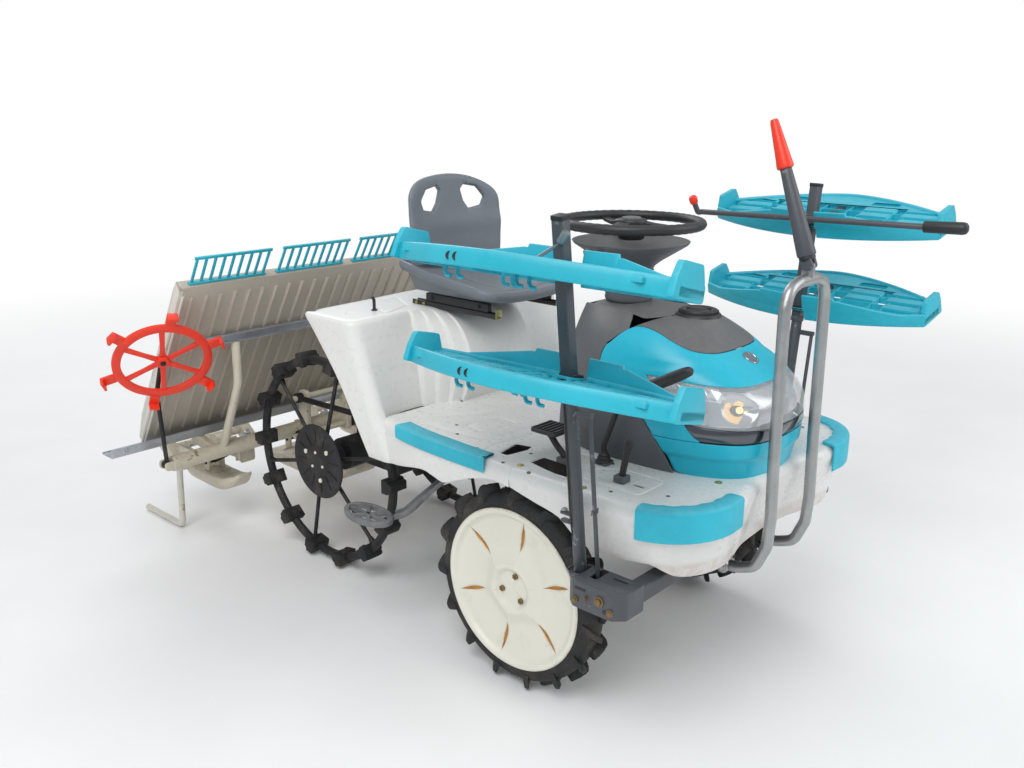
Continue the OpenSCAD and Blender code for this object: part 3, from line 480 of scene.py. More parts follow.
def slab(outline, low, high, holes=()):
    """A flat plate with holes between two heights, from outlines in its own plane."""
    curve = bpy.data.curves.new("outline", "CURVE")
    curve.dimensions = "2D"
    curve.fill_mode = "BOTH"
    for line in (outline, *holes):
        spline = curve.splines.new("POLY")
        spline.points.add(len(line) - 1)
        for point, place in zip(spline.points, line):
            point.co = (place[0], place[1], 0, 1)
        spline.use_cyclic_u = True
    curve.extrude = (high - low) / 2
    holder = bpy.data.objects.new("outline", curve)
    scene.collection.objects.link(holder)
    bpy.context.view_layer.update()
    mesh = bpy.data.meshes.new_from_object(holder.evaluated_get(bpy.context.evaluated_depsgraph_get()))
    verts = [Vector((v.co.x, v.co.y, v.co.z + (low + high) / 2)) for v in mesh.vertices]
    faces = [tuple(p.vertices) for p in mesh.polygons]
    bpy.data.objects.remove(holder)
    bpy.data.meshes.remove(mesh)
    return verts, faces


def moved(part, matrix):
    """The same part in another place."""
    verts, faces = part
    return [matrix @ v for v in verts], faces


def mirrored(part):
    """The same part on the machine's other side."""
    verts, faces = part
    return [Vector((v.x, -v.y, v.z)) for v in verts], [tuple(reversed(f)) for f in faces]


def sided(part, side):
    """The part itself on the left, its mirror image on the right."""
    return part if side > 0 else mirrored(part)


def metres(part):
    """A part given in millimetres from the rear axle, in the row frame."""
    verts, faces = part
    return [at(*v) for v in verts], faces


def frame_at(centre, x_axis, z_axis):
    """A placing matrix from a centre and two axes."""
    z = Vector(z_axis).normalized()
    x = (Vector(x_axis) - z * Vector(x_axis).dot(z)).normalized()
    y = z.cross(x)
    m = Matrix((x, y, z)).transposed().to_4x4()
    m.translation = Vector(centre)
    return m


def rounded(outline, radius, steps=5):
    """A closed outline with its corners rounded; radius may be a number or one for each corner."""
    count = len(outline)
    radii = radius if hasattr(radius, "__len__") else [radius] * count
    line = []
    for i in range(count):
        before, corner, after = (Vector(outline[(i + k) % count]).to_2d() for k in (-1, 0, 1))
        back, ahead = before - corner, after - corner
        angle = back.angle(ahead)
        if radii[i] <= 0 or angle > math.pi - 0.03:
            line.append(corner)
            continue
        reach = min(radii[i] / math.tan(angle / 2), back.length * 0.48, ahead.length * 0.48)
        start, end = corner + back.normalized() * reach, corner + ahead.normalized() * reach
        for k in range(steps + 1):
            t = k / steps
            line.append(start.lerp(corner, t).lerp(corner.lerp(end, t), t))
    return line


def piece(name, parts, finish, body, stands_for=(), bevel=0.0, segments=2, sharp=38, thickness=0.0,
          subdivide=0, weld=True, outside=True):
    """Joins parts into one mesh, finishes its edges and hangs it on its body.

    A finish may be a list: then each part is a pair of the part and its place in that list."""
    finishes = finish if isinstance(finish, list) else [finish]
    bm = bmesh.new()
    for part in parts:
        (verts, faces), index = part if isinstance(part[1], int) else (part, 0)
        made = [bm.verts.new(v) for v in verts]
        for face in faces:
            try:
                bm.faces.new([made[i] for i in face]).material_index = index
            except ValueError:
                continue
    if weld:
        bmesh.ops.remove_doubles(bm, verts=bm.verts, dist=2e-6)
    if outside:
        bmesh.ops.recalc_face_normals(bm, faces=bm.faces)
    mesh = bpy.data.meshes.new(name)
    bm.to_mesh(mesh)
    bm.free()
    for material in finishes:
        mesh.materials.append(material)
    holder = bpy.data.objects.new(name, mesh)
    scene.collection.objects.link(holder)
    if thickness:
        solid = holder.modifiers.new("wall", "SOLIDIFY")
        solid.thickness, solid.offset, solid.use_even_offset = thickness, -1, False
    if bevel:
        edge = holder.modifiers.new("edge", "BEVEL")
        edge.width, edge.segments = bevel, segments
        edge.limit_method, edge.angle_limit = "ANGLE", math.radians(sharp)
        edge.harden_normals = False
        edge.use_clamp_overlap = True
    if subdivide:
        fine = holder.modifiers.new("fine", "SUBSURF")
        fine.levels = fine.render_levels = subdivide
    if thickness or bevel or subdivide:
        bake_modifiers(holder)
    smooth_by_angle(holder.data, sharp)
    return hang(holder, body, stands_for)


def bake_modifiers(holder):
    """Turns what the modifiers make into the object's own plain mesh."""
    bpy.context.view_layer.update()
    evaluated = holder.evaluated_get(bpy.context.evaluated_depsgraph_get())
    mesh = bpy.data.meshes.new_from_object(evaluated)
    mesh.name = holder.name
    old = holder.data
    holder.modifiers.clear()
    holder.data = mesh
    bpy.data.meshes.remove(old)


def smooth_by_angle(mesh, angle):
    """Shades the mesh smooth, with hard edges where faces meet at more than the angle."""
    bm = bmesh.new()
    bm.from_mesh(mesh)
    limit = math.radians(angle)
    for face in bm.faces:
        face.smooth = True
    for edge in bm.edges:
        edge.smooth = len(edge.link_faces) == 2 and edge.calc_face_angle(0.0) < limit
    bm.to_mesh(mesh)
    bm.free()


def hang(holder, body, stands_for=()):
    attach(holder, body)
    if stands_for:
        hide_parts(*([stands_for] if isinstance(stands_for, str) else stands_for))
    return holder


def patch(outline, surface, step, holes=(), lines_in=()):
    """A skin over a region of a surface: the region is a closed outline in the surface's own two
    coordinates, the surface a function from them to a point. Edges follow the open lines in it."""
    lines = [outline, *holes]
    points, edges = [], []
    for line in lines:
        first = len(points)
        points += [Vector((p[0], p[1])) for p in line]
        edges += [(first + i, first + (i + 1) % len(line)) for i in range(len(line))]
    for line in lines_in:
        first = len(points)
        points += [Vector((p[0], p[1])) for p in line]
        edges += [(first + i, first + i + 1) for i in range(len(line) - 1)]
    free = [*lines, *[[*line, *line[-2:0:-1]] for line in lines_in]]
    low = [min(p[k] for p in outline) for k in (0, 1)]
    high = [max(p[k] for p in outline) for k in (0, 1)]
    steps = step if hasattr(step, "__len__") else (step, step)
    counts = [max(1, round((high[k] - low[k]) / steps[k])) for k in (0, 1)]
    cell = [(high[k] - low[k]) / counts[k] for k in (0, 1)]
    for i in range(1, counts[0]):
        for j in range(1, counts[1]):
            spot = (low[0] + i * cell[0], low[1] + j * cell[1])
            if within(spot, outline) and not any(within(spot, hole) for hole in holes):
                if all(gap_to(spot, line, steps) > 0.35 for line in free):
                    points.append(Vector(spot))
    points = [Vector((p[0] / steps[0], p[1] / steps[1])) for p in points]
    verts, _, faces, *_ = delaunay_2d_cdt(points, edges, [], 1, 1e-9)
    verts = [Vector((v[0] * steps[0], v[1] * steps[1])) for v in verts]
    kept = []
    for face in faces:
        middle = sum((verts[i] for i in face), Vector((0, 0))) / len(face)
        if within(middle, outline) and not any(within(middle, hole) for hole in holes):
            kept.append(tuple(face))
    return [Vector(surface(v[0], v[1])) for v in verts], kept


def groove(line, width, closed=False):
    """The three lines of a V-shaped groove: its middle and both edges."""
    points = [Vector((p[0], p[1])) for p in line]
    if closed:
        points.append(points[0])
    edges = ([], [])
    for i, point in enumerate(points):
        before = points[i - 1] if i else (points[-2] if closed else point)
        after = points[i + 1] if i < len(points) - 1 else (points[1] if closed else point)
        ahead = (after - before).normalized()
        for edge, side in zip(edges, (1, -1)):
            edge.append(point + Vector((-ahead.y, ahead.x)) * side * width / 2)
    return [points, *edges]


def sunk(spot, grooves, width, depth):
    """How deep the V-shaped grooves lie at a spot."""
    best = 9e9
    for line, *_ in grooves:
        best = min(best, gap_to(spot, [*line, *line[-2:0:-1]], (1.0, 1.0)))
        if best > 9:
            best = 9e9
    return depth * max(0.0, 1 - best / (width / 2))


def within(spot, line):
    """Whether a spot lies inside a closed line."""
    inside = False
    for a, b in zip(line, [*line[1:], line[0]]):
        if (a[1] > spot[1]) != (b[1] > spot[1]):
            if spot[0] < (b[0] - a[0]) * (spot[1] - a[1]) / (b[1] - a[1]) + a[0]:
                inside = not inside
    return inside


def gap_to(spot, line, steps):
    """Distance from a spot to a closed line, in steps of the grid."""
    best = 9.0
    for a, b in zip(line, [*line[1:], line[0]]):
        ax, ay, bx, by = a[0] / steps[0], a[1] / steps[1], b[0] / steps[0], b[1] / steps[1]
        px, py = spot[0] / steps[0], spot[1] / steps[1]
        dx, dy = bx - ax, by - ay
        t = max(0.0, min(1.0, ((px - ax) * dx + (py - ay) * dy) / (dx * dx + dy * dy + 1e-12)))
        best = min(best, math.hypot(ax + t * dx - px, ay + t * dy - py))
    return best


def sampled(table, value):
    """A smooth curve through (place, number, ...) rows, read at a value."""
    rows = table
    if value <= rows[0][0]:
        return rows[0][1:]
    if value >= rows[-1][0]:
        return rows[-1][1:]
    for k in range(len(rows) - 1):
        if rows[k][0] <= value <= rows[k + 1][0]:
            break
    before, here, there, after = (rows[max(0, min(len(rows) - 1, k + d))] for d in (-1, 0, 1, 2))
    span = there[0] - here[0]
    t = (value - here[0]) / span
    result = []
    for a, b, c, d in zip(before[1:], here[1:], there[1:], after[1:]):
        slope_in = (c - a) / (there[0] - before[0]) * span
        slope_out = (d - b) / (after[0] - here[0]) * span
        result.append((2 * t**3 - 3 * t**2 + 1) * b + (t**3 - 2 * t**2 + t) * slope_in
                      + (-2 * t**3 + 3 * t**2) * c + (t**3 - t**2) * slope_out)
    return result


def curve_through(points, count, closed=False):
    """Evenly counted points on a smooth curve through the given ones."""
    rows = [(i, *p) for i, p in enumerate([*points, points[0]] if closed else points)]
    last = len(rows) - 1
    return [tuple(sampled(rows, last * i / count)) for i in range(count if closed else count + 1)]


class Repeat:
    """A small Geometry Nodes tree that copies a shape by a rule and paints it."""

    def __init__(self, name, **inputs):
        self.tree = bpy.data.node_groups.new(name, "GeometryNodeTree")
        face = self.tree.interface
        face.new_socket("Shape", in_out="INPUT", socket_type="NodeSocketGeometry")
        for key, kind in inputs.items():
            face.new_socket(key, in_out="INPUT", socket_type="NodeSocket" + kind)
        face.new_socket("Finish", in_out="INPUT", socket_type="NodeSocketMaterial")
        face.new_socket("Copies", in_out="OUTPUT", socket_type="NodeSocketGeometry")
        self.given = self.tree.nodes.new("NodeGroupInput")

    def get(self, key):
        return Value(self.tree, self.given.outputs[key])

    def node(self, kind, out=0, settings=(), **inputs):
        node = self.tree.nodes.new(kind)
        for key, value in dict(settings).items():
            setattr(node, key, value)
        for key, value in inputs.items():
            numbered = key[0] == "i" and key[1:].isdigit()
            slot = node.inputs[int(key[1:]) if numbered else key.replace("_", " ")]
            plug(self.tree, slot, value)
        return Value(self.tree, node.outputs[out])

    def end(self, copies):
        real = self.node("GeometryNodeRealizeInstances", Geometry=copies)
        painted = self.node("GeometryNodeSetMaterial", Geometry=real, Material=self.get("Finish"))
        last = self.tree.nodes.new("NodeGroupOutput")
        plug(self.tree, last.inputs["Copies"], painted)
        return self

    def make(self, part, finish, **values):
        """The copies of a part as one part, with the tree's inputs set to the values."""
        verts, faces = part
        mesh = bpy.data.meshes.new("shape")
        mesh.from_pydata([tuple(v) for v in verts], [], faces)
        holder = bpy.data.objects.new("shape", mesh)
        scene.collection.objects.link(holder)
        modifier = holder.modifiers.new("repeat", "NODES")
        modifier.node_group = self.tree
        for item in self.tree.interface.items_tree:
            if item.item_type == "SOCKET" and item.in_out == "INPUT" and item.name in (*values, "Finish"):
                modifier[item.identifier] = finish if item.name == "Finish" else values[item.name]
        bpy.context.view_layer.update()
        made = bpy.data.meshes.new_from_object(holder.evaluated_get(bpy.context.evaluated_depsgraph_get()))
        result = [v.co.copy() for v in made.vertices], [tuple(p.vertices) for p in made.polygons]
        bpy.data.objects.remove(holder)
        bpy.data.meshes.remove(made)
        return result


def ring_tree():
    """Copies turned about z: Count of them, the first at the angle Start."""
    tree = Repeat("ring of copies", Count="Int", Start="Float", Turn="Float")
    index = tree.node("GeometryNodeInputIndex")
    spots = tree.node("GeometryNodePoints", Count=tree.get("Count"))
    angle = index * tree.get("Turn") + tree.get("Start")
    turn = tree.node("ShaderNodeCombineXYZ", Z=angle)
    return tree.end(tree.node("GeometryNodeInstanceOnPoints", Points=spots, Instance=tree.get("Shape"),
                              Rotation=turn))


def row_tree():
    """Copies in a grid: Count along Step, and Rows of them along Next."""
    tree = Repeat("rows of copies", Count="Int", Rows="Int", Step="Vector", Next="Vector")
    index = tree.node("GeometryNodeInputIndex")
    total = tree.get("Count") * tree.get("Rows")
    spots = tree.node("GeometryNodePoints", Count=total)
    line = (index / tree.get("Count")).math("FLOOR")
    place = index - line * tree.get("Count")
    along = tree.node("ShaderNodeVectorMath", settings={"operation": "SCALE"}, i0=tree.get("Step"),
                      Scale=place)
    across = tree.node("ShaderNodeVectorMath", settings={"operation": "SCALE"}, i0=tree.get("Next"),
                       Scale=line)
    both = tree.node("ShaderNodeVectorMath", i0=along, i1=across)
    moved_spots = tree.node("GeometryNodeSetPosition", Geometry=spots, Position=both)
    return tree.end(tree.node("GeometryNodeInstanceOnPoints", Points=moved_spots, Instance=tree.get("Shape")))


RING, ROWS = ring_tree(), row_tree()


def ring_of(part, count, start=0.0, turn=None, finish=None):
    """Copies of a part round its z axis; angles in degrees."""
    step = math.radians(360 / count if turn is None else turn)
    return RING.make(part, finish or ZINC, Count=count, Start=math.radians(start), Turn=step)


def rows_of(part, count, step, rows=1, following=(0, 0, 0), finish=None):
    return ROWS.make(part, finish or ZINC, Count=count, Rows=rows, Step=tuple(map(float, step)),
                     Next=tuple(map(float, following)))


def facing(centre, normal, up=(0, 0, 1)):
    """Places a part whose z axis becomes the normal; up gives where its x axis leans."""
    return frame_at(centre, up, normal)


def bolt(centre, normal, size=9.0, washer=0.0, height=None):
    """A hexagon bolt head with a chamfered top, on a washer if it has one."""
    height = height or size * 0.62
    base = 0.0
    parts = []
    if washer:
        parts.append(turned([(0, 0.01), (0, washer), (1.6, washer), (1.8, washer - 0.4), (1.8, 0.01)],
                            (0, 0, 0), (0, 0, 1), 24))
        base = 1.8
    ring = lambda r, z: [Vector((r * math.cos(a), r * math.sin(a), z))
                         for a in (math.pi / 3 * k for k in range(6))]
    parts.append(shell([ring(size, base), ring(size, base + height * 0.86),
                        ring(size * 0.86, base + height)]))
    place = facing(centre, normal, (0.3, 0.2, 1))
    return [moved(p, place) for p in parts]


def screw(centre, normal, size=5.0):
    """A round screw head with a low dome."""
    profile = [(0, 0.01), (0, size), (size * 0.18, size * 0.98), (size * 0.4, size * 0.7),
               (size * 0.46, size * 0.35), (size * 0.3, 0.01)]
    return moved(turned(profile, (0, 0, 0), (0, 0, 1), 16), facing(centre, normal, (0.3, 0.2, 1)))


# Seedling racks


HALF_RACK, RACK_WIDTH, RACK_TILT, RACK_TOE = 340.0, 290.0, 14.0, 2.5
NOTCH_HALF, NOTCH_REACH = 21.5, 100  # the notch for the post in a rack's inner edge
POST_X, POST_Y, POST_FOOT, POST_LEAN = 1156.0, 465.0, 400.0, 7.0
RACK_HEIGHTS = (880.0, 1110.0)


def rack_place(height):
    """Where a left rack's own axes stand: along, outward, off the plate."""
    out = POST_Y + (height - POST_FOOT) * math.tan(math.radians(POST_LEAN)) - 48
    turn = Matrix.Rotation(math.radians(-RACK_TOE), 4, "Z") @ Matrix.Rotation(math.radians(RACK_TILT), 4, "X")
    return Matrix.Translation((POST_X, out, height)) @ turn


def rack_inner(a):
    return 18 + 75 * (abs(a) / HALF_RACK) ** 2


def rack_outer(a):
    return 18 + RACK_WIDTH - 125 * (abs(a) / HALF_RACK) ** 1.6


def rack_plan(inset, count=36):
    """The boat-shaped plan at an inset, with round ends."""
    half = HALF_RACK - inset
    spread = [half * math.sin(math.pi / 2 * k / count) for k in range(-count, count + 1)]
    line = [(a, rack_inner(a) + inset) for a in spread] + [(a, rack_outer(a) - inset)
            for a in reversed(spread)]
    return line


def rack_slots():
    """Slot middles and half sizes in each half of the plate."""
    table = []
    for side in (1, -1):
        table += [(side * 126, 247, 41, 13), (side * 128, 203, 44, 14), (side * 130, 160, 42, 13),
                  (side * 243, 214, 42, 9), (side * 256, 174, 52, 13), (side * 262, 126, 50, 14)]
    return table


def rack_parts():
    """One rack in its own axes."""
    parts = []
    # plate with rounded slots; each slot has a lip below
    holes = []
    for a, b, half_a, half_b in rack_slots():
        holes.append(rounded([(a - half_a, b - half_b), (a + half_a, b - half_b), (a + half_a, b + half_b),
                              (a - half_a, b + half_b)], 4, 3))
    outline = rack_plan(5)
    cut = [(x, y) for x, y in outline if not (abs(x) < NOTCH_HALF and y < NOTCH_REACH)]
    first = max(i for i, p in enumerate(cut) if p[0] < 0 and p[1] < NOTCH_REACH)
    cut[first + 1:first + 1] = [(-21, rack_inner(21) + 5), (-21, 82), (-17, 86), (17, 86), (21, 82),
                                (21, rack_inner(21) + 5)]
    parts.append(slab(cut, -5, 0, holes))
    for hole in holes:
        middle = Vector((sum(p[0] for p in hole), sum(p[1] for p in hole))) / len(hole)
        ring = lambda k, z: [Vector((middle.x + (p[0] - middle.x) * k, middle.y + (p[1] - middle.y) * k, z))
                             for p in hole]
        parts.append(shell([ring(1.0, -1), ring(1.0, -13), ring(1.07, -13), ring(1.07, -4), ring(1.0, -1)],
                           cap=False))
    # rim: a thick round-edged lip that hangs below the plate
    profile = [(11, -4), (11, 1), (8.5, 4.5), (5, 5.6), (2, 3.6), (0.4, -1), (0, -8), (0, -25), (1.5, -30),
               (4.5, -31.5), (7, -30), (7.5, -25), (7.5, -4)]
    rings = []
    for inset, height in profile:
        ring = [(p[0], p[1], height) for p in rack_plan(inset)]
        rings.append([Vector(p) for p in ring])
    cut_ring = lambda ring: [p for p in ring if not (abs(p.x) < NOTCH_HALF and p.y < NOTCH_REACH)]
    open_rings = []
    for ring in rings:
        kept = cut_ring(ring)
        start = next(i for i, p in enumerate(kept) if p.x > 0 and p.y < NOTCH_REACH)
        open_rings.append(kept[start:] + kept[:start])
    open_rings.append(open_rings[0])
    count = len(open_rings[0])
    verts = [v for ring in open_rings for v in ring]
    faces = []
    for r in range(len(open_rings) - 1):
        for i in range(count - 1):
            faces.append((r * count + i, r * count + i + 1, (r + 1) * count + i + 1, (r + 1) * count + i))
    for i in (0, count - 1):
        faces.append(tuple(r * count + i for r in range(len(open_rings) - 1)))
    parts.append((verts, faces))
    # end stops, thick trapezoids with soft corners
    for side in (-1, 1):
        face = rounded([(92, -30), (204, -30), (197, 8), (184, 37), (113, 37), (99, 8)],
                       (6, 6, 12, 9, 9, 12), 4)
        stop = slab(face, 0, 13)
        place = Matrix(((0, 0, side, side * 327), (1, 0, 0, 0), (0, 1, 0, 0), (0, 0, 0, 1)))
        parts.append(moved(stop, place))
    # inner wall: highest beside the post, falling to the ends
    for side in (-1, 1):
        top = lambda a: 44 if a < 112 else (36 if a < 124 else max(3.0, 36 * (1 - (a - 124) / 176)))
        spots = [24, 40, 60, 80, 100, 111, 114, 122, 125, 150, 175, 200, 225, 250, 275, 299]
        outer_line = [(a, rack_inner(a)) for a in spots]
        rings = [[Vector((side * a, b + 8 - t * 8, h)) for t, h in ((0, -3), (1, -3), (1, top(a) - 1.5),
                (0.8, top(a)), (0.2, top(a)), (0, top(a) - 1.5))] for a, b in outer_line]
        parts.append(shell(rings))
    # long ribs and cross ribs under the plate
    for b, half in ((62, 250), (95, 300), (137, 318), (187, 300), (228, 245), (270, 150)):
        for side in (-1, 1):
            inner = 23 if b < 100 else 0
            parts.append(block((side * half if side < 0 else inner, b - 1.5, -24),
                               (-inner if side < 0 else half, b + 1.5, -4)))
    for a in (-300, -215, -172, -84, -40, 40, 84, 172, 215, 300):
        parts.append(block((a - 1.5, rack_inner(a) + 7, -20), (a + 1.5, rack_outer(a) - 7, -4)))
    # hooks under the rear half
    for a, b in ((-150, 235), (-118, 235), (-72, 150), (-48, 150), (30, 235), (60, 235)):
        line = [Vector((a, b, -20)), Vector((a, b, -42)), Vector((a + 6, b, -50)), Vector((a + 17, b, -50))]
        parts.append(tube(line, 4.2, 6, 10))
    return parts


rack_shape = rack_parts()
for side_name, side in SIDES:
    everything = []
    for height in RACK_HEIGHTS:
        place = rack_place(height)
        everything += [sided(moved(part, place), side) for part in rack_shape]
    piece("seedling_racks_" + side_name + "_moulded", [metres(p) for p in everything], TEAL_MATT,
          "rack_unit_" + side_name, "seedling_racks_" + side_name, bevel=0.0009, sharp=32)
    pins = []
    for height in RACK_HEIGHTS:
        place = rack_place(height)
        for a in (-92, -70):
            ring = turned([(-1, 8.5), (0.6, 8.5), (0.6, 6.5), (-0.6, 5.4), (-1, 0.01)], (0, 0, 0),
                          (0, 0, 1), 20)
            out = Vector((0.35 if a < 0 else -0.35, 1, 0)).normalized()
            spot = Vector((a, rack_outer(a) - 0.6, -14))
            pins.append(sided(moved(moved(ring, facing(spot, out)), place), side))
    piece("rack_rim_plugs_" + side_name, [metres(p) for p in pins], BLACK, "rack_unit_" + side_name)


# Front wheels


HUB_FRONT, FRONT_TYRE_WIDTH = (FRONT_AXLE, 395.0, 270.0), 72.0
SLIT_START, SLIT_TURN = 19.4, 60.0


def wheel_place(centre):
    """Wheel axes in the machine: x forward, y up, z outward to the left."""
    m = Matrix(((1, 0, 0, centre[0]), (0, 0, 1, centre[1]), (0, 1, 0, centre[2]), (0, 0, 0, 1)))
    return m


def tyre_parts():
    half = FRONT_TYRE_WIDTH / 2
    profile = [(-half + 6, 203), (-half + 1, 205), (-half, 214), (-half + 0.5, 226), (-half + 3, 236),
               (-half + 9, 244), (-half + 20, 248), (0, 249.5), (half - 20, 248), (half - 9, 244),
               (half - 3, 236), (half - 0.5, 226), (half, 214), (half - 1, 205), (half - 6, 203),
               (half - 8, 201), (-half + 8, 201)]
    parts = [turned(profile, (0, 0, 0), (0, 0, 1), 96, closed=True)]
    for ring in (209, 217.5):
        for side in (-1, 1):
            edge = [(side * (half - 1.5), ring - 2), (side * (half + 0.7), ring - 1),
                    (side * (half + 0.7), ring + 1), (side * (half - 1.5), ring + 2)]
            parts.append(turned(edge, (0, 0, 0), (0, 0, 1), 96, closed=True))
    # one lug: a slanted bar that runs over the shoulder and narrows to its top
    for side in (-1, 1):
        rings = []
        for across, low, high, lean in ((-1, 244, 267.5, 0.0), (12, 244, 269, 9.0), (24, 242, 268.5, 19.0),
                                        (32, 238, 266, 25.5), (36.2, 230, 258, 29.0),
                                        (37.5, 224, 244, 30.5)):
            wide = 10.5 if across < 30 else 9.0
            y0 = side * across
            rings.append([Vector((low, lean - wide, y0)), Vector((high - 3, lean - wide * 0.82, y0)),
                          Vector((high, lean - wide * 0.6, y0)), Vector((high, lean + wide * 0.6, y0)),
                          Vector((high - 3, lean + wide * 0.82, y0)), Vector((low, lean + wide, y0))])
        parts.append(ring_of(shell(rings), 15, 0.0 if side < 0 else 12.0))
    return parts


def disc_height(radius, angle):
    """How far the pressed disc stands out from the wheel's middle plane."""
    base = sampled([(0, 25), (30, 25), (44, 25.5), (50, 29), (56, 34), (64, 34.5), (72, 30), (88, 23),
                    (100, 20.5), (130, 22), (160, 25.5), (182, 28), (190, 29), (195, 34), (199, 38),
                    (204, 39.4), (209, 39.6), (213, 37.5), (214.5, 33)], radius)[0]
    turned_angle = (math.degrees(angle) - SLIT_START) % SLIT_TURN
    turned_angle = min(turned_angle, SLIT_TURN - turned_angle)
    across = radius * math.sin(math.radians(turned_angle))
    lobe = 6.0 * math.exp(-(across / 26) ** 2) * math.exp(-((radius - 82) / 24) ** 2)
    crease = 1.6 * math.exp(-(across / 5.0) ** 2) * (1 if 70 < radius < 118 else math.exp(-((radius
            - 118) / 12) ** 2) if radius >= 118 else math.exp(-((radius - 70) / 6) ** 2))
    leaf = max(0.0, 1 - ((radius - 148) / 40) ** 2)
    slit = -5.0 * leaf * math.exp(-(across / (1.2 + 4.6 * leaf)) ** 4)
    return base + lobe + crease + slit


def disc_parts():
    radii = [0.01, 12, 24, 34, 40, 44, 47, 50, 53, 56, 60, 64, 68, 72, 78, 84, 90, 96, 102, 108, 114, 120,
             126, 132, 138, 144, 150, 156, 162, 168, 174, 180, 185, 189, 192, 195, 197, 199, 202, 205, 209,
             211.5, 213.5, 214.5]
    count = 216
    angles = [2 * math.pi * k / count for k in range(count)]
    rings = [[Vector((r * math.cos(a), r * math.sin(a), disc_height(r, a))) for a in angles] for r in radii]
    rings += [[Vector((r * math.cos(a), r * math.sin(a), z)) for a in angles] for r,
              z in ((214.5, 20), (203, 17), (200, 8), (198, -28), (204, -34), (210, -36), (210, -38),
                    (196, -38), (190, -30), (190, 14), (0.01, 14))]
    parts = [shell(rings, cap=False)]
    for k in range(3):
        a = math.radians(77 + 120 * k)
        spot = Vector((37 * math.cos(a), 37 * math.sin(a), 24))
        well = turned([(-3, 12.5), (1.0, 12.5), (1.6, 11.5), (1.6, 9.8), (-3, 9.8)], spot, (0, 0, 1), 24,
                      closed=True)
        parts.append(well)
    return parts


def disc_nut_parts():
    parts = []
    for k in range(3):
        a = math.radians(77 + 120 * k)
        parts += bolt((37 * math.cos(a), 37 * math.sin(a), 24), (0, 0, 1), 8.2, 0, 8)
        parts.append(turned([(0, 0.01), (10.5, 3.6), (11.5, 3.0), (11.5, 0.01)],
                            (37 * math.cos(a), 37 * math.sin(a), 24), (0, 0, 1), 12))
    return parts


def disc_finish(name, centre):
    """Cream paint with rust in the six radial slits."""
    f = Finish(name, Coat_Weight=0.25, Coat_Roughness=0.15)
    x, _, z = f.axes(centre)
    radius = (x * x + z * z) ** 0.5
    angle = z.math("ARCTAN2", x) * (180 / math.pi)
    share = ((angle - SLIT_START) / SLIT_TURN + 6.5).math("FRACT") - 0.5
    across = radius * (share * math.radians(SLIT_TURN)).math("SINE")
    grain = f.noise(60.0, 6.0, 0.7)
    patch_noise = f.noise(7.0, 5.0, 0.6, seed=3.0)
    leaf = (1 - ((radius - 0.148) / 0.046) ** 2).clamped()
    stain = ((0.0056 * leaf + (grain - 0.5) * 0.004) - across.size()).rise(-0.0006, 0.0018)
    stain = stain * patch_noise.rise(0.18, 0.42)
    run = ((0.012 * leaf) - across.size()).rise(-0.004, 0.008) * 0.28 * grain.rise(0.35, 0.6)
    dust = f.noise(4.0, 4.0).rise(0.35, 0.75) * 0.25
    edge = (radius - 0.2075).rise(0.0, 0.004) * 0.35 * grain.rise(0.42, 0.6)
    shade = f.mix(dust, rgb(232, 230, 216), rgb(214, 208, 190))
    shade = f.mix(run + edge, shade, rgb(186, 150, 96))
    shade = f.mix(stain.clamped(), shade, f.mix(grain.rise(0.3, 0.7), rgb(150, 96, 34), rgb(196, 142, 60)))
    low = f.noise(18.0, 6.0, seed=8.0).rise(0.55, 0.8) * 0.14
    shade = f.mix(low, shade, rgb(150, 136, 112))
    f.set(Base_Color=shade, Roughness=0.32 + stain * 0.5 + low)
    f.bump(grain, 0.00012)
    f.bump(stain * grain, -0.0005)
    return f.done()


tyre_shape, disc_shape, nut_shape = tyre_parts(), disc_parts(), disc_nut_parts()
for side_name, side in SIDES:
    place = wheel_place(HUB_FRONT)
    body = "front_wheel_" + side_name
    piece("front_tyre_" + side_name + "_lugged", [metres(sided(moved(p, place), side)) for p in tyre_shape],
          RUBBER, body, "front_tyre_" + side_name, bevel=0.0012, sharp=34)
    hub = at(FRONT_AXLE, side * 395, 270)
    piece("front_disc_" + side_name + "_pressed", [metres(sided(moved(p, place), side))
                                                   for p in disc_shape],
          disc_finish("cream pressed disc " + side_name, hub), body, "front_disc_" + side_name,
          sharp=50)
    piece("front_disc_nuts_" + side_name, [metres(sided(moved(p, place), side)) for p in nut_shape],
          RUSTY, body, bevel=0.0006)


# Nose: one surface from the dash round the front, split into skirt, lamp, hood and grey cover


NOSE_BACK = 1002.0
NOSE_ROWS = [  # height, front end, half width, half width at the dash's rear, where that rear end is
    (560, 1388, 215, 118, 800), (600, 1390, 218, 119, 801), (646, 1398, 224, 120, 804),
    (690, 1401, 226.5, 120, 808),
    (740, 1403, 222, 120, 812), (780, 1394, 217, 120, 815), (812, 1364, 211, 118, 821),
    (836, 1330, 204, 114, 828),
    (868, 1276, 192, 108, 837), (904, 1218, 170, 101, 847), (930, 1180, 140, 96, 856),
    (946, 1150, 110, 92, 862), (952, 1140, 97, 90, 865)]


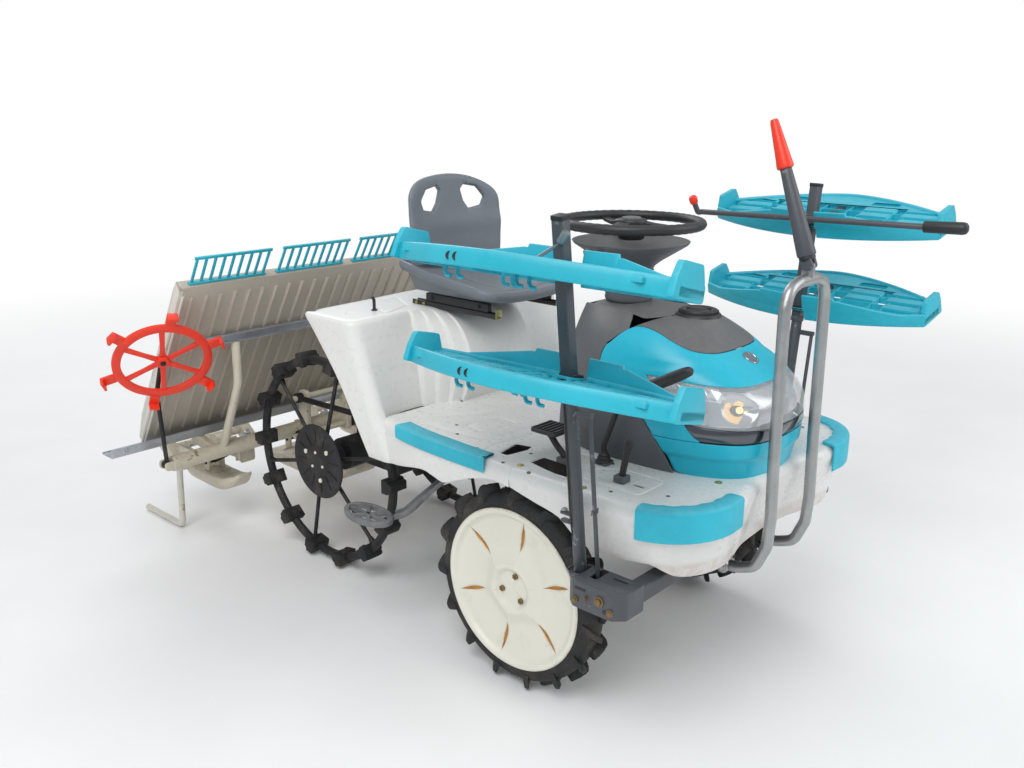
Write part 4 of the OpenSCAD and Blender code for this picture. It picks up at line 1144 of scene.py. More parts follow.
def nose(q, z):
    """A point on the nose: q runs from 0 at the front to 1 at the dash's rear, on the left where positive."""
    front, half, rear_half, rear = sampled(NOSE_ROWS, z)
    s = abs(q)
    if s <= 0.72:
        t = s / 0.72 * math.pi / 2
        x = NOSE_BACK + (front - NOSE_BACK) * max(0.0, math.cos(t)) ** 0.72
        y = half * math.sin(t) ** 0.62 if s else 0.0
        if s < 0.12:
            # the power law is blunt at the very front, so a soft crown takes over there
            edge = 0.12 / 0.72 * math.pi / 2
            y = half * math.sin(edge) ** 0.62 * (s / 0.12)
            x_edge = NOSE_BACK + (front - NOSE_BACK) * math.cos(edge) ** 0.72
            x = x_edge + (front - x_edge) * (1 - (s / 0.12) ** 2)
    else:
        u = min(1.0, (s - 0.72) / 0.28)
        x = NOSE_BACK + (rear - NOSE_BACK) * u
        y = rear_half + (half - rear_half) * math.cos(u * math.pi / 2) ** 1.15 if u < 1 else rear_half
    return x, math.copysign(y, q) if q else 0.0, z


def nose_at(q, z, sink=0.0):
    x, y, z = nose(q, z)
    if sink:
        a, b = Vector(nose(q - 0.004, z)), Vector(nose(q + 0.004, z))
        c, d = Vector(nose(q, z - 2)), Vector(nose(q, z + 2))
        normal = (b - a).cross(d - c).normalized()
        return at(*(Vector((x, y, z)) - normal * sink))
    return at(x, y, z)


def both_ways(half_line):
    """A closed outline from its left half, which runs from the front's top round to the front's bottom."""
    other = [(-q, z) for q, z in reversed(half_line) if abs(q) > 1e-6]
    return [*half_line, *other]


def dense(line, step):
    """The line with points no further apart than the step in its first number (times 160 in heights)."""
    result = []
    for a, b in zip(line, [*line[1:], line[0]]):
        long = math.hypot(a[0] - b[0], (a[1] - b[1]) / 330)
        count = max(1, math.ceil(long / step))
        result += [(a[0] + (b[0] - a[0]) * k / count, a[1] + (b[1] - a[1]) * k / count) for k in range(count)]
    return result


HOOD_EDGE = curve_through([(0.0, 877), (0.10, 877), (0.20, 879), (0.31, 886), (0.40, 902), (0.464, 914),
                           (0.56, 923), (0.645, 921), (0.70, 900), (0.728, 862), (0.732, 836)], 44)
LOBE_BACK = curve_through([(0.732, 836), (0.722, 815), (0.69, 786), (0.650, 758), (0.60, 708), (0.565, 672),
                           (0.53, 634), (0.499, 596)], 26)
LAMP_BACK = curve_through([(0.603, 826), (0.585, 800), (0.545, 768), (0.49, 730), (0.44, 700),
                           (0.415, 692)], 16)
LAMP_TOP = curve_through([(0.0, 818), (0.2, 818), (0.4, 821), (0.55, 826), (0.603, 826)], 20)
FLOOR_LINE = curve_through([(0.499, 602), (0.42, 596), (0.3, 582), (0.15, 573), (0.0, 571)], 18)

lower = [p for p in LOBE_BACK if p[1] <= 700]
# hood with the strip that runs down behind the lamp
hood_line = HOOD_EDGE + [p for p in LOBE_BACK[1:] if p[1] > 688] + [(0.584, 688),
        (0.418, 689)] + list(reversed(LAMP_BACK))[1:] + list(reversed(LAMP_TOP))[1:]
skirt_line = [(0.0, 688), (0.2, 688), (0.418, 688), (0.584, 687)] + [p for p in LOBE_BACK
        if p[1] < 686][:-1] + FLOOR_LINE


def skirt_surface(q, z):
    """The skirt has a step a third of the way down, and turns in at its foot."""
    sink = 7.5 / (1 + math.exp((z - 648) / 2.2)) + max(0.0, (612 - z)) * 0.06
    return nose_at(q, z, sink)


def hood_surface(q, z):
    """A soft crease runs forward from the lobe along the hood's shoulder."""
    crease = 2.2 * math.exp(-((z - (846 + 40 * max(0.0, 0.6 - abs(q)))) / 7.0) ** 2)
    return nose_at(q, z, crease * (1 if abs(q) < 0.6 else max(0.0, 1 - (abs(q) - 0.6) / 0.1)))


def lamp_surface(q, z):
    bulge = 3.0 * math.sin(math.pi * max(0.0, min(1.0, (z - 692) / 126)))
    return nose_at(q, z, 1.5 - bulge)


piece("hood_saddle", [patch(dense(both_ways(hood_line), 0.012), hood_surface, (0.017, 6.0))], TEAL,
      "machine", "hood_shell", thickness=0.004, bevel=0.0016, segments=3, sharp=50)
piece("nose_skirt_stepped", [patch(dense(both_ways(skirt_line), 0.012), skirt_surface, (0.017, 3.4))], TEAL,
      "machine", "nose_skirt", thickness=0.004, bevel=0.0014, segments=3, sharp=50)

# lamp: clear cover over a silver reflector, with a dark chrome strip along its foot
strip_line = [(0.0, 722), (0.2, 722), (0.40, 724), (0.478, 729)] + [p for p in LAMP_BACK[1:]
        if p[1] < 727] + [(0.2, 692), (0.0, 692)]
glass_line = LAMP_TOP[:-1] + [(0.600, 825)] + [p for p in LAMP_BACK[1:] if p[1] > 731] + [(0.478, 730.5),
        (0.40, 725.5), (0.2, 723.5), (0.0, 723.5)]


def reflector_surface(q, z):
    """Behind the cover: fluted sides and a round bowl on each side of the middle."""
    depth = 17.0
    away = math.hypot((abs(q) - 0.235) / 0.115, (z - 772) / 40)
    if away < 1:
        depth += 34 * (1 - away * away)
    depth += 2.2 * math.sin(abs(q) * 110) * (1 if abs(q) > 0.36 else 0)
    return nose_at(q, z, depth)


piece("headlamp_cover", [patch(dense(both_ways(glass_line), 0.012), lamp_surface, (0.017, 6.0))], GLASS,
      "machine", "headlamp_band", thickness=0.0025, bevel=0.0009, sharp=50)
piece("headlamp_reflector", [patch(dense(both_ways(glass_line), 0.012), reflector_surface, (0.008, 3.2))],
      CHROME, "machine", thickness=0.0015, sharp=50)
piece("headlamp_foot_strip", [patch(dense(both_ways(strip_line), 0.012), lambda q,
                                    z: nose_at(q, z, 0.5 - 2.0 * math.sin(math.pi * (z - 690) / 36)),
                                    (0.017, 4.0))], DARK_CHROME, "machine",
      thickness=0.003, bevel=0.0009, sharp=50)
for side_name, side in SIDES:
    mount = nose_at(side * 0.235, 772, 44)
    front_spot = nose_at(side * 0.235, 772, 0)
    out = (front_spot - mount).normalized()
    parts = [turned([(0.0, 0.006), (0.007, 0.0085), (0.013, 0.0085), (0.019, 0.006), (0.022, 0.0)], mount,
                    out, 20)]
    piece("headlamp_bulb_" + side_name, parts, BULB, "machine")
    piece("headlamp_bulb_holder_" + side_name, [turned([(-0.006, 0.0), (-0.006, 0.012), (0.002, 0.011),
            (0.004, 0.007), (0.004, 0.0)], mount, out, 24)], BLACK, "machine")

# grey cover: sides behind the lobe, top of the dash and the flared collar round the filler
side_edge = [(q + 0.0035, z) for q, z in HOOD_EDGE if q > 0.66] + [(q + 0.0035, z) for q, z in LOBE_BACK[1:]]
grey_half = side_edge + [(0.75, 602), (0.9, 602), (1.0, 602), (1.0, 700), (1.0, 800), (1.0, 900),
                         (1.0, 948), (0.9, 949), (0.8, 949), (0.72, 949), (0.69, 945), (0.675, 936),
                         (0.668, 920)]
for side_name, side in SIDES:
    outline = [(side * q, z) for q, z in dense(grey_half, 0.012)]
    piece("dash_side_" + side_name, [patch(outline, lambda q, z: nose_at(q, z, 1.0), (0.017, 9.0))],
          GREY_DASH, "machine", thickness=0.004, bevel=0.0016, segments=3, sharp=50)

CAP_SPOT = Vector((1142.0, 0.0, 0.0))


def collar_rings():
    """Rings from the hood's upper edge up the flare to the filler's neck."""
    lower_line = [p for p in HOOD_EDGE if p[0] <= 0.66]
    edge = [Vector(nose(q, z + 1.0)) for q, z in lower_line]
    rim = [Vector((v.x, -v.y, v.z)) for v in reversed(edge[1:])] + edge
    count = len(rim)
    rings = []
    for share, lift in ((0.0, -5), (0.0, 0), (0.06, 4), (0.22, 9), (0.45, 22), (0.7, 40), (0.88, 52),
                        (1.0, 56)):
        ring = []
        for i, v in enumerate(rim):
            a = -1 + 2 * i / (count - 1)
            angle = a * math.radians(128)
            target = Vector((CAP_SPOT.x + 55 * math.cos(angle), 55 * math.sin(angle), 942))
            flat = v.lerp(target, share)
            height = v.z + (942 - v.z) * (share ** 1.35) + 6 * math.sin(math.pi * share)
            point = Vector((flat.x, flat.y, height if share else v.z + lift))
            ring.append(point * 1.0)
        rings.append(ring)
    return rings


collar = collar_rings()
verts = [v for ring in collar[1:] for v in ring]
count = len(collar[1])
faces = []
for r in range(len(collar) - 2):
    for i in range(count - 1):
        faces.append((r * count + i, r * count + i + 1, (r + 1) * count + i + 1, (r + 1) * count + i))


def dash_top(x, y):
    """The dash's top: level round the steering neck, falling to its rear edge."""
    rise = 951 + 5 * math.exp(-((x - 930) ** 2 + y * y) / 90.0**2) - 0.0009 * y * y
    rise -= 0.004 * max(0.0, 905 - x) ** 2
    dip = 7.0 * max(0.0, 1 - ((x - 1095) / 60) ** 2) * max(0.0, 1 - (y / 120) ** 2) if x > 1035 else 0.0
    return at(x, y, rise - dip - 2)


top_plan = [(862, -88), (930, -98), (1002, -97), (1060, -112), (1096, -60), (1104, 0), (1096, 60),
            (1060, 112), (1002, 97), (930, 98), (862, 88), (856, 60), (854, 0), (856, -60)]
top_plan = rounded(top_plan, 20, 3)
piece("dash_top_cover", [patch([(p[0], p[1]) for p in top_plan], dash_top, 12.0), metres((verts, faces))],
      GREY_DASH, "machine", "dash_cover", thickness=0.003, bevel=0.0015, segments=3,
      sharp=50)

# filler neck and the knurled cap
neck = [turned([(934, 58), (941, 57), (946, 54), (948, 50), (946, 44), (936, 42)], CAP_SPOT, (0, 0, 1), 64,
               closed=True)]
piece("filler_neck", [metres(p) for p in neck], BLACK, "machine", sharp=40)
cap = [turned([(938, 0.01), (938, 40), (939, 46.5), (941, 47.5), (953, 47.5), (956, 46), (957.5, 42),
               (957.5, 34), (955.5, 31), (955.5, 26), (957.5, 22), (959.4, 14), (959.8, 0.01)], CAP_SPOT,
              (0, 0, 1), 64)]
rib = shell([[Vector((46.8, -1.4, z)), Vector((49.6, -0.9, z)), Vector((49.6, 0.9, z)),
              Vector((46.8, 1.4, z))] for z in (941.5, 954)])
cap.append(moved(ring_of(rib, 40), Matrix.Translation(CAP_SPOT)))
grip = shell([[Vector((-30, -4, z)), Vector((30, -4, z)), Vector((30, 4, z)), Vector((-30, 4, z))]
              for z in (955, 959.5)])
cap.append(moved(grip, Matrix.Translation(CAP_SPOT) @ Matrix.Rotation(0.6, 4, "Z")))
piece("filler_cap", [metres(p) for p in cap], BLACK, "machine", bevel=0.0006, sharp=40)

# bare round badge on the hood under the collar
badge = Vector(nose_at(0.0, 858, 0.0))
lean = (nose_at(0.0, 858, -4) - badge).normalized()
badge_parts = [turned([(-0.003, 0.0), (-0.003, 0.021), (0.0012, 0.0212), (0.0028, 0.0195), (0.0028, 0.017),
                       (0.0014, 0.0158), (0.0014, 0.0)], badge, lean, 48)]
piece("hood_badge_plain", badge_parts, BADGE, "machine", sharp=35)


# the dash's rear wall, with a shallow door and a key switch
def dash_rear(t, z):
    """Between the two sides' rear ends, a little bulged to the driver."""
    _, _, rear_half, rear = sampled(NOSE_ROWS, z)
    dent = sunk((t * 100, z), door_line, 6.0, 3.0)
    return at(rear + 0.6 - 9 * (1 - t * t) + dent, t * rear_half, z)


door_line = [groove(rounded([(-52, 690), (52, 690), (48, 850), (-48, 850)], 14, 4), 6.0, closed=True)]
door_marks = [[(p[0] / 100, p[1]) for p in line] for line in door_line[0]]
rear_plan = rounded([(-1.0, 602), (1.0, 602), (1.0, 944), (-1.0, 944)], 0)
piece("dash_rear_wall", [patch(dense([tuple(p) for p in rear_plan], 9.0), dash_rear, (0.12, 14.0), (),
                               door_marks)], GREY_DASH, "machine", thickness=0.003,
      bevel=0.001, sharp=50)
key_parts = [turned([(0, 0.01), (0, 15), (3, 15), (5, 12), (5, 0.01)], (838, -58, 884), (-0.97, 0, 0.2),
                    28), block((820, -60, 880), (834, -56, 890))]
piece("dash_key_switch", [metres(p) for p in key_parts], BLACK, "machine", bevel=0.0005)


# Front deck, step floor and pads


FLOOR_Z, FLOOR_HALF = 600.0, 450.0
LOW_EDGE = [(380, 470), (480, 487), (600, 512), (650, 505), (682, 499), (740, 522), (790, 541), (839, 554),
            (880, 557), (917, 551), (955, 541), (1000, 530), (1030, 524), (1062, 514), (1082, 496),
            (1109, 470), (1160, 456), (1310, 468), (1340, 455), (1370, 438), (1450, 428)]


def deck_line(inset):
    """The deck's left edge at an inset, from its rear end round to the front's middle."""
    wide = FLOOR_HALF - inset
    line = [(915.3 + 18.4 * k, wide) for k in range(19)]
    line += [(1255 + (170 - inset) * math.sin(math.radians(a)), wide - 175
              + 175 * math.cos(math.radians(a))) for a in range(5, 90, 5)]
    front = curve_through([(1425 - inset, wide - 175), (1418 - inset, 190), (1400 - inset, 112),
                           (1393 - inset, 0)], 18)
    return line + front


def floor_line(inset):
    """The step floor's left edge at an inset, from its front end back."""
    wide = FLOOR_HALF - inset
    return curve_through([(914.7, wide), (840, wide), (760, wide - 0.5), (680, wide - 4), (600, wide - 9),
                          (520, wide - 20), (440, wide - 38), (400, wide - 50)], 40)


def foot(x):
    return sampled(LOW_EDGE, x)[0]


EDGE_TURN = [(25 - 23 * math.sin(math.radians(a)), 575 + 25 * math.cos(math.radians(a)))
             for a in range(0, 91, 15)]


def wall(line, both=True, slope=34.0 / 151):
    """Rounded shoulder and wall below it, down to the lower edge."""
    columns = []
    base = line(0.0)
    for i in range(len(base)):
        column = []
        for inset, z in EDGE_TURN:
            x, y = line(inset)[i]
            column.append(Vector((x, y, z)))
        low = foot(base[i][0])
        for k in range(1, 11):
            z = 575 + (low - 575) * k / 10
            x, y = line(2 + (575 - z) * slope)[i]
            column.append(Vector((x, y, z)))
        columns.append(column)
    if both:
        columns = columns + [[Vector((v.x, -v.y, v.z)) for v in column] for column in reversed(columns[:-1])]
    rings = [[column[k] for column in columns] for k in range(len(columns[0]))]
    return shell(rings, closed=False)


deck_half = [(p[0], p[1]) for p in deck_line(25.0)]
deck_top = deck_half + [(x, -y) for x, y in reversed(deck_half[:-1])]
DECK_HOLES = [rounded([(919, -376), (922, -322), (1048, -326), (1050, -401), (972, -388)], 5, 3),
              rounded([(1190, -330), (1222, -330), (1222, -318), (1190, -318)], 4, 2)]
deck_grooves = []
for sign in (-1, 1):
    deck_grooves.append(groove(rounded([(1075, sign * 372), (1240, sign * 372), (1240, sign * 262),
                                        (1120, sign * 262), (1075, sign * 300)], 16, 5), 5.0, closed=True))
    deck_grooves.append(groove(curve_through([(935, sign * 250), (990, sign * 246), (1040, sign * 236)],
                                             10), 4.0))


def flat_with(grooves, depth=2.2, width=5.0, height=FLOOR_Z):
    return lambda x, y: at(x, y, height - sunk((x, y), grooves, width, depth))


lines_of = lambda grooves: [line for group in grooves for line in group]
deck_parts = [patch(deck_top, flat_with(deck_grooves), 22.0, DECK_HOLES, lines_of(deck_grooves)),
              metres(wall(deck_line))]
piece("front_deck_moulded", deck_parts, WHITE_DECK, "machine", "front_deck",
      thickness=0.0045, bevel=0.0016, segments=2, sharp=40)

floor_half = [(p[0], p[1]) for p in floor_line(25.0)]
floor_top = floor_half + [(x, -y) for x, y in reversed(floor_half)]
FLOOR_HOLES = [rounded([(806, -296), (852, -284), (862, -316), (850, -381), (824, -380)], 9, 4),
               rounded([(806, 296), (824, 380), (850, 381), (862, 316), (852, 284)], 9, 4)]
floor_grooves = []
for sign in (-1, 1):
    box_line = rounded([(606, sign * 280), (626, sign * 166), (700, sign * 175), (674, sign * 287)], 12, 4)
    floor_grooves.append(groove(box_line, 4.0, closed=True))
    floor_grooves.append(groove(curve_through([(520, sign * 345), (600, sign * 342), (665, sign * 340),
                                               (712, sign * 329), (732, sign * 300), (742, sign * 250),
                                               (747, sign * 150)], 24), 4.0))
    floor_grooves.append(groove([(401, sign * 219), (438, sign * 87)], 3.0))
    floor_grooves.append(groove([(502, sign * 274), (577, sign * 157)], 3.0))
    floor_grooves.append(groove(curve_through([(770, sign * 350), (782, sign * 260), (780, sign * 170)],
                                              10), 4.0))
floor_parts = [patch(floor_top, flat_with(floor_grooves, 3.6, 6.0), 22.0, FLOOR_HOLES,
                     lines_of(floor_grooves)), metres(wall(floor_line, both=False, slope=0.02)),
               metres(mirrored(wall(floor_line, both=False, slope=0.02)))]
piece("step_floor_moulded", floor_parts, WHITE_DECK, "machine", "step_floor",
      thickness=0.0045, bevel=0.0016, segments=2, sharp=40)

# moulding marks: a raised boss under each hole's screw, small plugs and screws on the floor
plug_parts, screw_parts = [], []
for x, y in ((447, -135), (592, -300), (646, -352), (877, -425), (966, -432), (886, -332), (1057, -300),
             (1079, -250), (760, -395), (1180, -395), (1290, -330), (447, 135), (592, 300), (877, 425),
             (966, 432), (886, 332), (1057, 300), (1180, 395), (1290, 330)):
    plug_parts.append(turned([(-2, 0.01), (-2, 5.0), (0.6, 5.0), (1.0, 4.2), (0.2, 3.2), (0.2, 0.01)],
                             (x, y, FLOOR_Z), (0, 0, 1), 20))
for x, y in ((921, -410), (921, 410), (1330, -180), (1330, 180), (1120, -420), (1120, 420)):
    screw_parts.append(screw((x, y, FLOOR_Z + 0.2), (0, 0, 1), 6.5))
    screw_parts.append(turned([(-0.5, 0.01), (-0.5, 9.5), (0.7, 9.5), (0.9, 9.0), (0.9, 0.01)],
                              (x, y, FLOOR_Z), (0, 0, 1), 24))
piece("floor_plugs", [metres(p) for p in plug_parts], GREY_DASH, "machine")
piece("floor_screws", [metres(p) for p in screw_parts], YELLOW_ZINC, "machine")


def swept(path, outs, section, skew=(0.0, 0.0)):
    """A section of (out, height) pairs carried along a path; skew slants both ends."""
    rings = []
    for i, (spot, out) in enumerate(zip(path, outs)):
        ahead = (path[min(i + 1, len(path) - 1)] - path[max(i - 1, 0)]).normalized()
        lean = skew[0] if i == 0 else skew[1] if i == len(path) - 1 else 0.0
        rings.append([spot + out * o + Vector((0, 0, h)) + ahead * lean * o for o, h in section])
    return shell(rings)


def edge_frames(line, start, end, count):
    """Evenly spread points on a 2D line from its share start to its share end, with outward normals."""
    spots = [Vector(p) for p in line]
    lengths = [0.0]
    for a, b in zip(spots, spots[1:]):
        lengths.append(lengths[-1] + (b - a).length)
    path, outs = [], []
    for k in range(count + 1):
        want = lengths[-1] * (start + (end - start) * k / count)
        j = min(max(i for i, length in enumerate(lengths) if length <= want + 1e-9), len(spots) - 2)
        t = (want - lengths[j]) / (lengths[j + 1] - lengths[j])
        flat = spots[j].lerp(spots[j + 1], t)
        ahead = (spots[j + 1] - spots[j]).normalized()
        path.append(Vector((flat.x, flat.y, FLOOR_Z)))
        outs.append(Vector((ahead.y, -ahead.x, 0)))
    return path, outs


pad_parts = []
long_section = [(-46, 0.3), (-46, 5.2), (-44, 7), (-4, 7.4), (1.5, 6.6), (4.6, 3.6), (5.0, -1), (5.0, -26),
                (3.8, -30), (1.0, -30), (0.5, -26), (0.5, -2), (-3, 0.3)]
pad_line = [(x, y) for x, y in reversed(floor_line(0.0)) if 470 <= x <= 842]
path, outs = edge_frames(pad_line, 0.0, 1.0, 44)
outs = [-o if o.y < 0 else o for o in outs]
long_pad = swept(path, outs, long_section, (0.0, 0.75))
ridges = []
for k in range(21):
    spot, out = path[1 + 2 * k], outs[1 + 2 * k]
    for reach in (-38, -28, -18, -8):
        ridges.append(turned([(-1, 0.01), (-1, 2.6), (0.6, 2.3), (1.1, 1.2), (1.1, 0.01)], spot
                             + out * reach + Vector((0, 0, 7.2)), (0, 0, 1), 8))
corner_line = [p for p in deck_line(0.0) if p[0] >= 1282 and p[1] >= 228]
path, outs = edge_frames(corner_line, 0.0, 1.0, 40)
outs = [-o if o.dot(spot - Vector((1200, 0, FLOOR_Z))) < 0 else o for spot, o in zip(path, outs)]
rings = []
for i, (spot, out) in enumerate(zip(path, outs)):
    wave = 4.5 * abs(math.sin(math.pi * i / 8))
    end = min(i, len(path) - 1 - i)
    reach = 40 - wave - (10 if end == 0 else 3 if end == 1 else 0)
    section = [(-reach, 0.3), (-reach, 6.2), (-reach + 2, 8), (-12, 8.6), (-3, 8.0), (2.6, 5.6), (4.8, 1.0),
               (5.0, -6), (5.0, -60), (3.8, -65), (0.8, -66), (0.4, -60), (0.4, -4), (-3, 0.3)]
    rings.append([spot + out * o + Vector((0, 0, h)) for o, h in section])
corner_pad = shell(rings)
for side_name, side in SIDES:
    pad_parts += [metres(sided(p, side)) for p in (long_pad, corner_pad, *ridges)]
piece("deck_pads_grip", pad_parts, TEAL_PAD, "machine", "deck_pads", bevel=0.0008, sharp=50)


# Seat base, seat and its rails


BARREL = [(600, 450), (660, 472), (720, 485), (760, 475), (800, 456), (830, 430), (850, 400), (862, 372),
          (866, 352)]
BAND = [(0, 1), (124, 1), (130, 1), (132, 0.9), (160, 0.76), (162, 0.62), (190, 0.46), (192, 0.32),
        (220, 0.16), (223, 0.03), (262, 0), (460, 0)]
PANEL_FOOT = [(262, 368), (300, 368), (354, 379), (400, 408), (450, 430)]
SIDE_REAR = [(478, 352), (520, 330), (684, 249), (807, 165), (852, 130), (866, 118)]


def straight(table, value):
    """A line through (place, number) rows, read at a value."""
    for (a, b), (c, d) in zip(table, table[1:]):
        if value <= c:
            return b + (d - b) * max(0.0, value - a) / (c - a)
    return table[-1][1]


def base_side(z):
    return 412 + 30 * (z - 478) / 388


def base_front(y, z):
    """How far forward the white base stands at a width and a height."""
    low = straight(PANEL_FOOT, y)
    t = max(0.0, (866 - z) / 266)
    panel = 326 + (low - 326) * t ** 1.6 + 8 * math.sin(math.pi * min(1.0, t))
    share = straight(BAND, y)
    bulge = sampled(BARREL, max(600, z))[0]
    return panel + (bulge - panel) * share


def base_column(z, inset=0.0):
    """The base's outline at a height, from the side's rear edge round the corner to the middle."""
    side = base_side(z) - inset
    rear = sampled(SIDE_REAR, z)[0] + inset * 0.4
    corner = base_front(side - 34, z) - inset
    line = [(rear + (corner - 34 - rear) * k / 9, side) for k in range(10)]
    line += [(corner - 34 + 34 * math.sin(a), side - 34 + 34 * math.cos(a))
             for a in (math.pi / 2 * k / 6 for k in range(1, 7))]
    widths = [side - 34 - 8, 370, 340, 310, 290, 272, 258, 246, 235, 226, 223.4, 221.6, 219.6, 212, 202,
              194, 192.4, 190.8, 189, 182, 172, 164, 162.4, 160.8, 159, 152, 142, 134, 132.4, 130.8, 129,
              122, 105, 84, 60, 40, 20, 0]
    return line + [(base_front(y, z) - inset, y) for y in widths if y <= side - 40]


base_rings = []
for z in [478, 500, 530, 560, 590, 600, 608, 620, 640, 660, 680, 700, 716, 724, 740, 756, 770, 785, 800,
          812, 824, 834, 842, 850]:
    base_rings.append([(x, y, z) for x, y in base_column(z)])
for a in (20, 40, 60, 78, 90):
    t = math.radians(a)
    drop = 14 * (1 - math.cos(t))
    base_rings.append([(x, y, 852 + 14 * math.sin(t)) for x, y in base_column(852 + 14 * math.sin(t), drop)])
base_left = [[Vector(p) for p in ring] for ring in base_rings]
base_full = [ring + [Vector((p.x, -p.y, p.z)) for p in reversed(ring[:-1])] for ring in base_left]
base_skin = shell(base_full, closed=False)
verts, faces = base_skin
low_front = lambda f: all(verts[i].z < 599 for i in f) and abs(sum(verts[i].y for i in f) / len(f)) < 372
base_skin = (verts, [f for f in faces if not low_front(f)])
edge = [(p.x, p.y) for p in base_full[-1]]
rear_line = [(151, 434), (136, 410), (122, 384), (116, 300), (112, 225), (104, 120), (98, 56), (96, 0)]
rear_edge = [(x, -y) for x, y in reversed(curve_through(rear_line, 28)[::-1])] + curve_through(rear_line,
        28)[::-1][1:]
top_outline = edge + [p for p in rear_edge if abs(p[1]) < 418]
recess = rounded([(150, -213), (146, -112), (258, -172), (300, -280), (288, -292)], 12, 4)
lid = rounded([(170, 60), (170, 210), (296, 210), (296, 60)], 14, 4)
base_grooves = [groove(recess, 7.0, closed=True), groove(lid, 4.0, closed=True)]
top_skin = patch(top_outline, flat_with(base_grooves, 4.0, 7.0, 866.0), 16.0, (), lines_of(base_grooves))
lip = shell([[Vector((x + shift, y, z)) for x, y in rear_edge if abs(y) < 418] for shift,
             z in ((0, 866), (-3, 864.5), (-4.5, 860), (-4, 846))], closed=False)
piece("seat_base_moulded", [metres(base_skin), top_skin, metres(lip)], WHITE, "machine", "seat_base",
      thickness=0.004, bevel=0.0009, sharp=34)

# seat: cushion with a rolled edge, shell back with two windows
BACK_EDGE = [(-176, 985), (-179, 1050), (-177, 1141), (-172, 1190), (-125, 1220), (-10, 1232), (102, 1218),
             (184, 1177), (197, 1110), (199, 1045), (196, 985)]
back_outline = curve_through([(y if y < 0 else y * 0.92, z) for y, z in BACK_EDGE], 60)
window = rounded([(-134, 1166), (-104, 1200), (-54, 1209), (-38, 1192), (-51, 1154), (-72, 1128),
                  (-120, 1136)], 12, 4)
windows = [window, [(-y + 4, z) for y, z in window]]


def seat_back(y, z):
    """The seat back's front face: wrapped round the driver and leaning back."""
    lean = (z - 985) * 0.03
    wrap = 34 * (abs(y) / 190) ** 2.4
    roll = 10 * max(0.0, 1 - min(abs(z - 1092), 40) / 40)
    return at(263 - lean + wrap + roll * 0.4, y, z)


crease = curve_through([(-168, 1088), (-90, 1082), (0, 1080), (90, 1082), (168, 1088)], 24)
back_skin = patch(back_outline, seat_back, 13.0, windows, [crease])
rims = []
for line, out in ((back_outline, 1), (windows[0], -1), (windows[1], -1)):
    lip_line = []
    for y, z in line:
        lip_line.append(seat_back(y, z) + Vector((0.004, 0, 0)))
    rims.append(tube([*lip_line] + ([] if out > 0 else [lip_line[0]]), 0.0072 if out > 0 else 0.0045, 0, 10))
piece("seat_back_shell", [back_skin], GREY_SEAT, "seat", "driver_seat", thickness=0.012,
      bevel=0.002, sharp=45)
piece("seat_back_rims", rims, GREY_SEAT, "seat", sharp=60)


def cushion_plan(inset):
    """The left half of the cushion's plan at an inset, from the rear to the middle of the front."""
    line = []
    half, front, rear = 200 - inset, 616 - inset, 252 + inset * 0.4
    for a in range(0, 91, 10):
        t = math.radians(a)
        line.append((front - 58 + 58 * math.sin(t), half - 58 + 58 * math.cos(t)))
    line = [(rear, half - 6), (rear + 120, half), (rear + 220, half)] + line
    line += [(front + 3 * math.cos(math.pi * k / 8), half * (1 - k / 4) * 0.7)
             for k in range(1, 4)] + [(front + 3, 0)]
    return line


def cushion_height(x, y):
    """The cushion's upper face: dished, rising to the back and the sides."""
    t = (x - 250) / 366
    dish = 26 * (abs(y) / 200) ** 2.2 * (1 - 0.35 * t)
    return 940 + 36 * max(0.0, 1 - t) ** 2.2 + dish - 10 * max(0.0, t - 0.75) / 0.25


rings = []
for inset, drop in ((26, -26), (8, -24), (1, -16), (0, -6), (3, 2), (9, 5), (16, 1), (26, -3)):
    ring = []
    for x, y in cushion_plan(inset):
        ring.append(Vector((x, y, cushion_height(x, y) + drop)))
    rings.append(ring + [Vector((p.x, -p.y, p.z)) for p in reversed(ring[:-1])])
rim_skin = shell(rings, cap=False)
inner = [(p.x, p.y) for p in rings[-1]]
seat_lines = [curve_through([(560, -150), (570, 0), (560, 150)], 12),
              curve_through([(300, -60), (430, -66), (560, -60)], 12),
              curve_through([(300, 60), (430, 66), (560, 60)], 12)]
cushion_grooves = [groove(line, 8.0) for line in seat_lines]
cushion_top = patch(inner, lambda x, y: at(x, y, cushion_height(x, y) - 3
                                           - sunk((x, y), cushion_grooves, 8.0, 4.0)), 15.0, (),
                    lines_of(cushion_grooves))
under = shell([[Vector((x, y, cushion_height(x, y) - 26)) for x, y in inner],
               [Vector((300 + (x - 300) * 0.9, y * 0.86, 911)) for x, y in inner]], cap=True)
sliders = []
for side in (-1, 1):
    y = side * 130
    sliders.append(slab(rounded([(304, y - 8.5), (556, y - 8.5), (556, y + 8.5), (304, y + 8.5)], 3, 3),
                        881, 904))
    sliders += [part for x in (330, 520) for part in bolt((x, y + side * 9, 892), (0, side, 0), 5.0, 7.0)]
piece("seat_cushion_shell", [metres(rim_skin), cushion_top, metres(under)], GREY_SEAT, "seat",
      bevel=0.0, sharp=48)
piece("seat_sliders", [metres(p) for p in sliders], BLACK, "seat", bevel=0.0006)

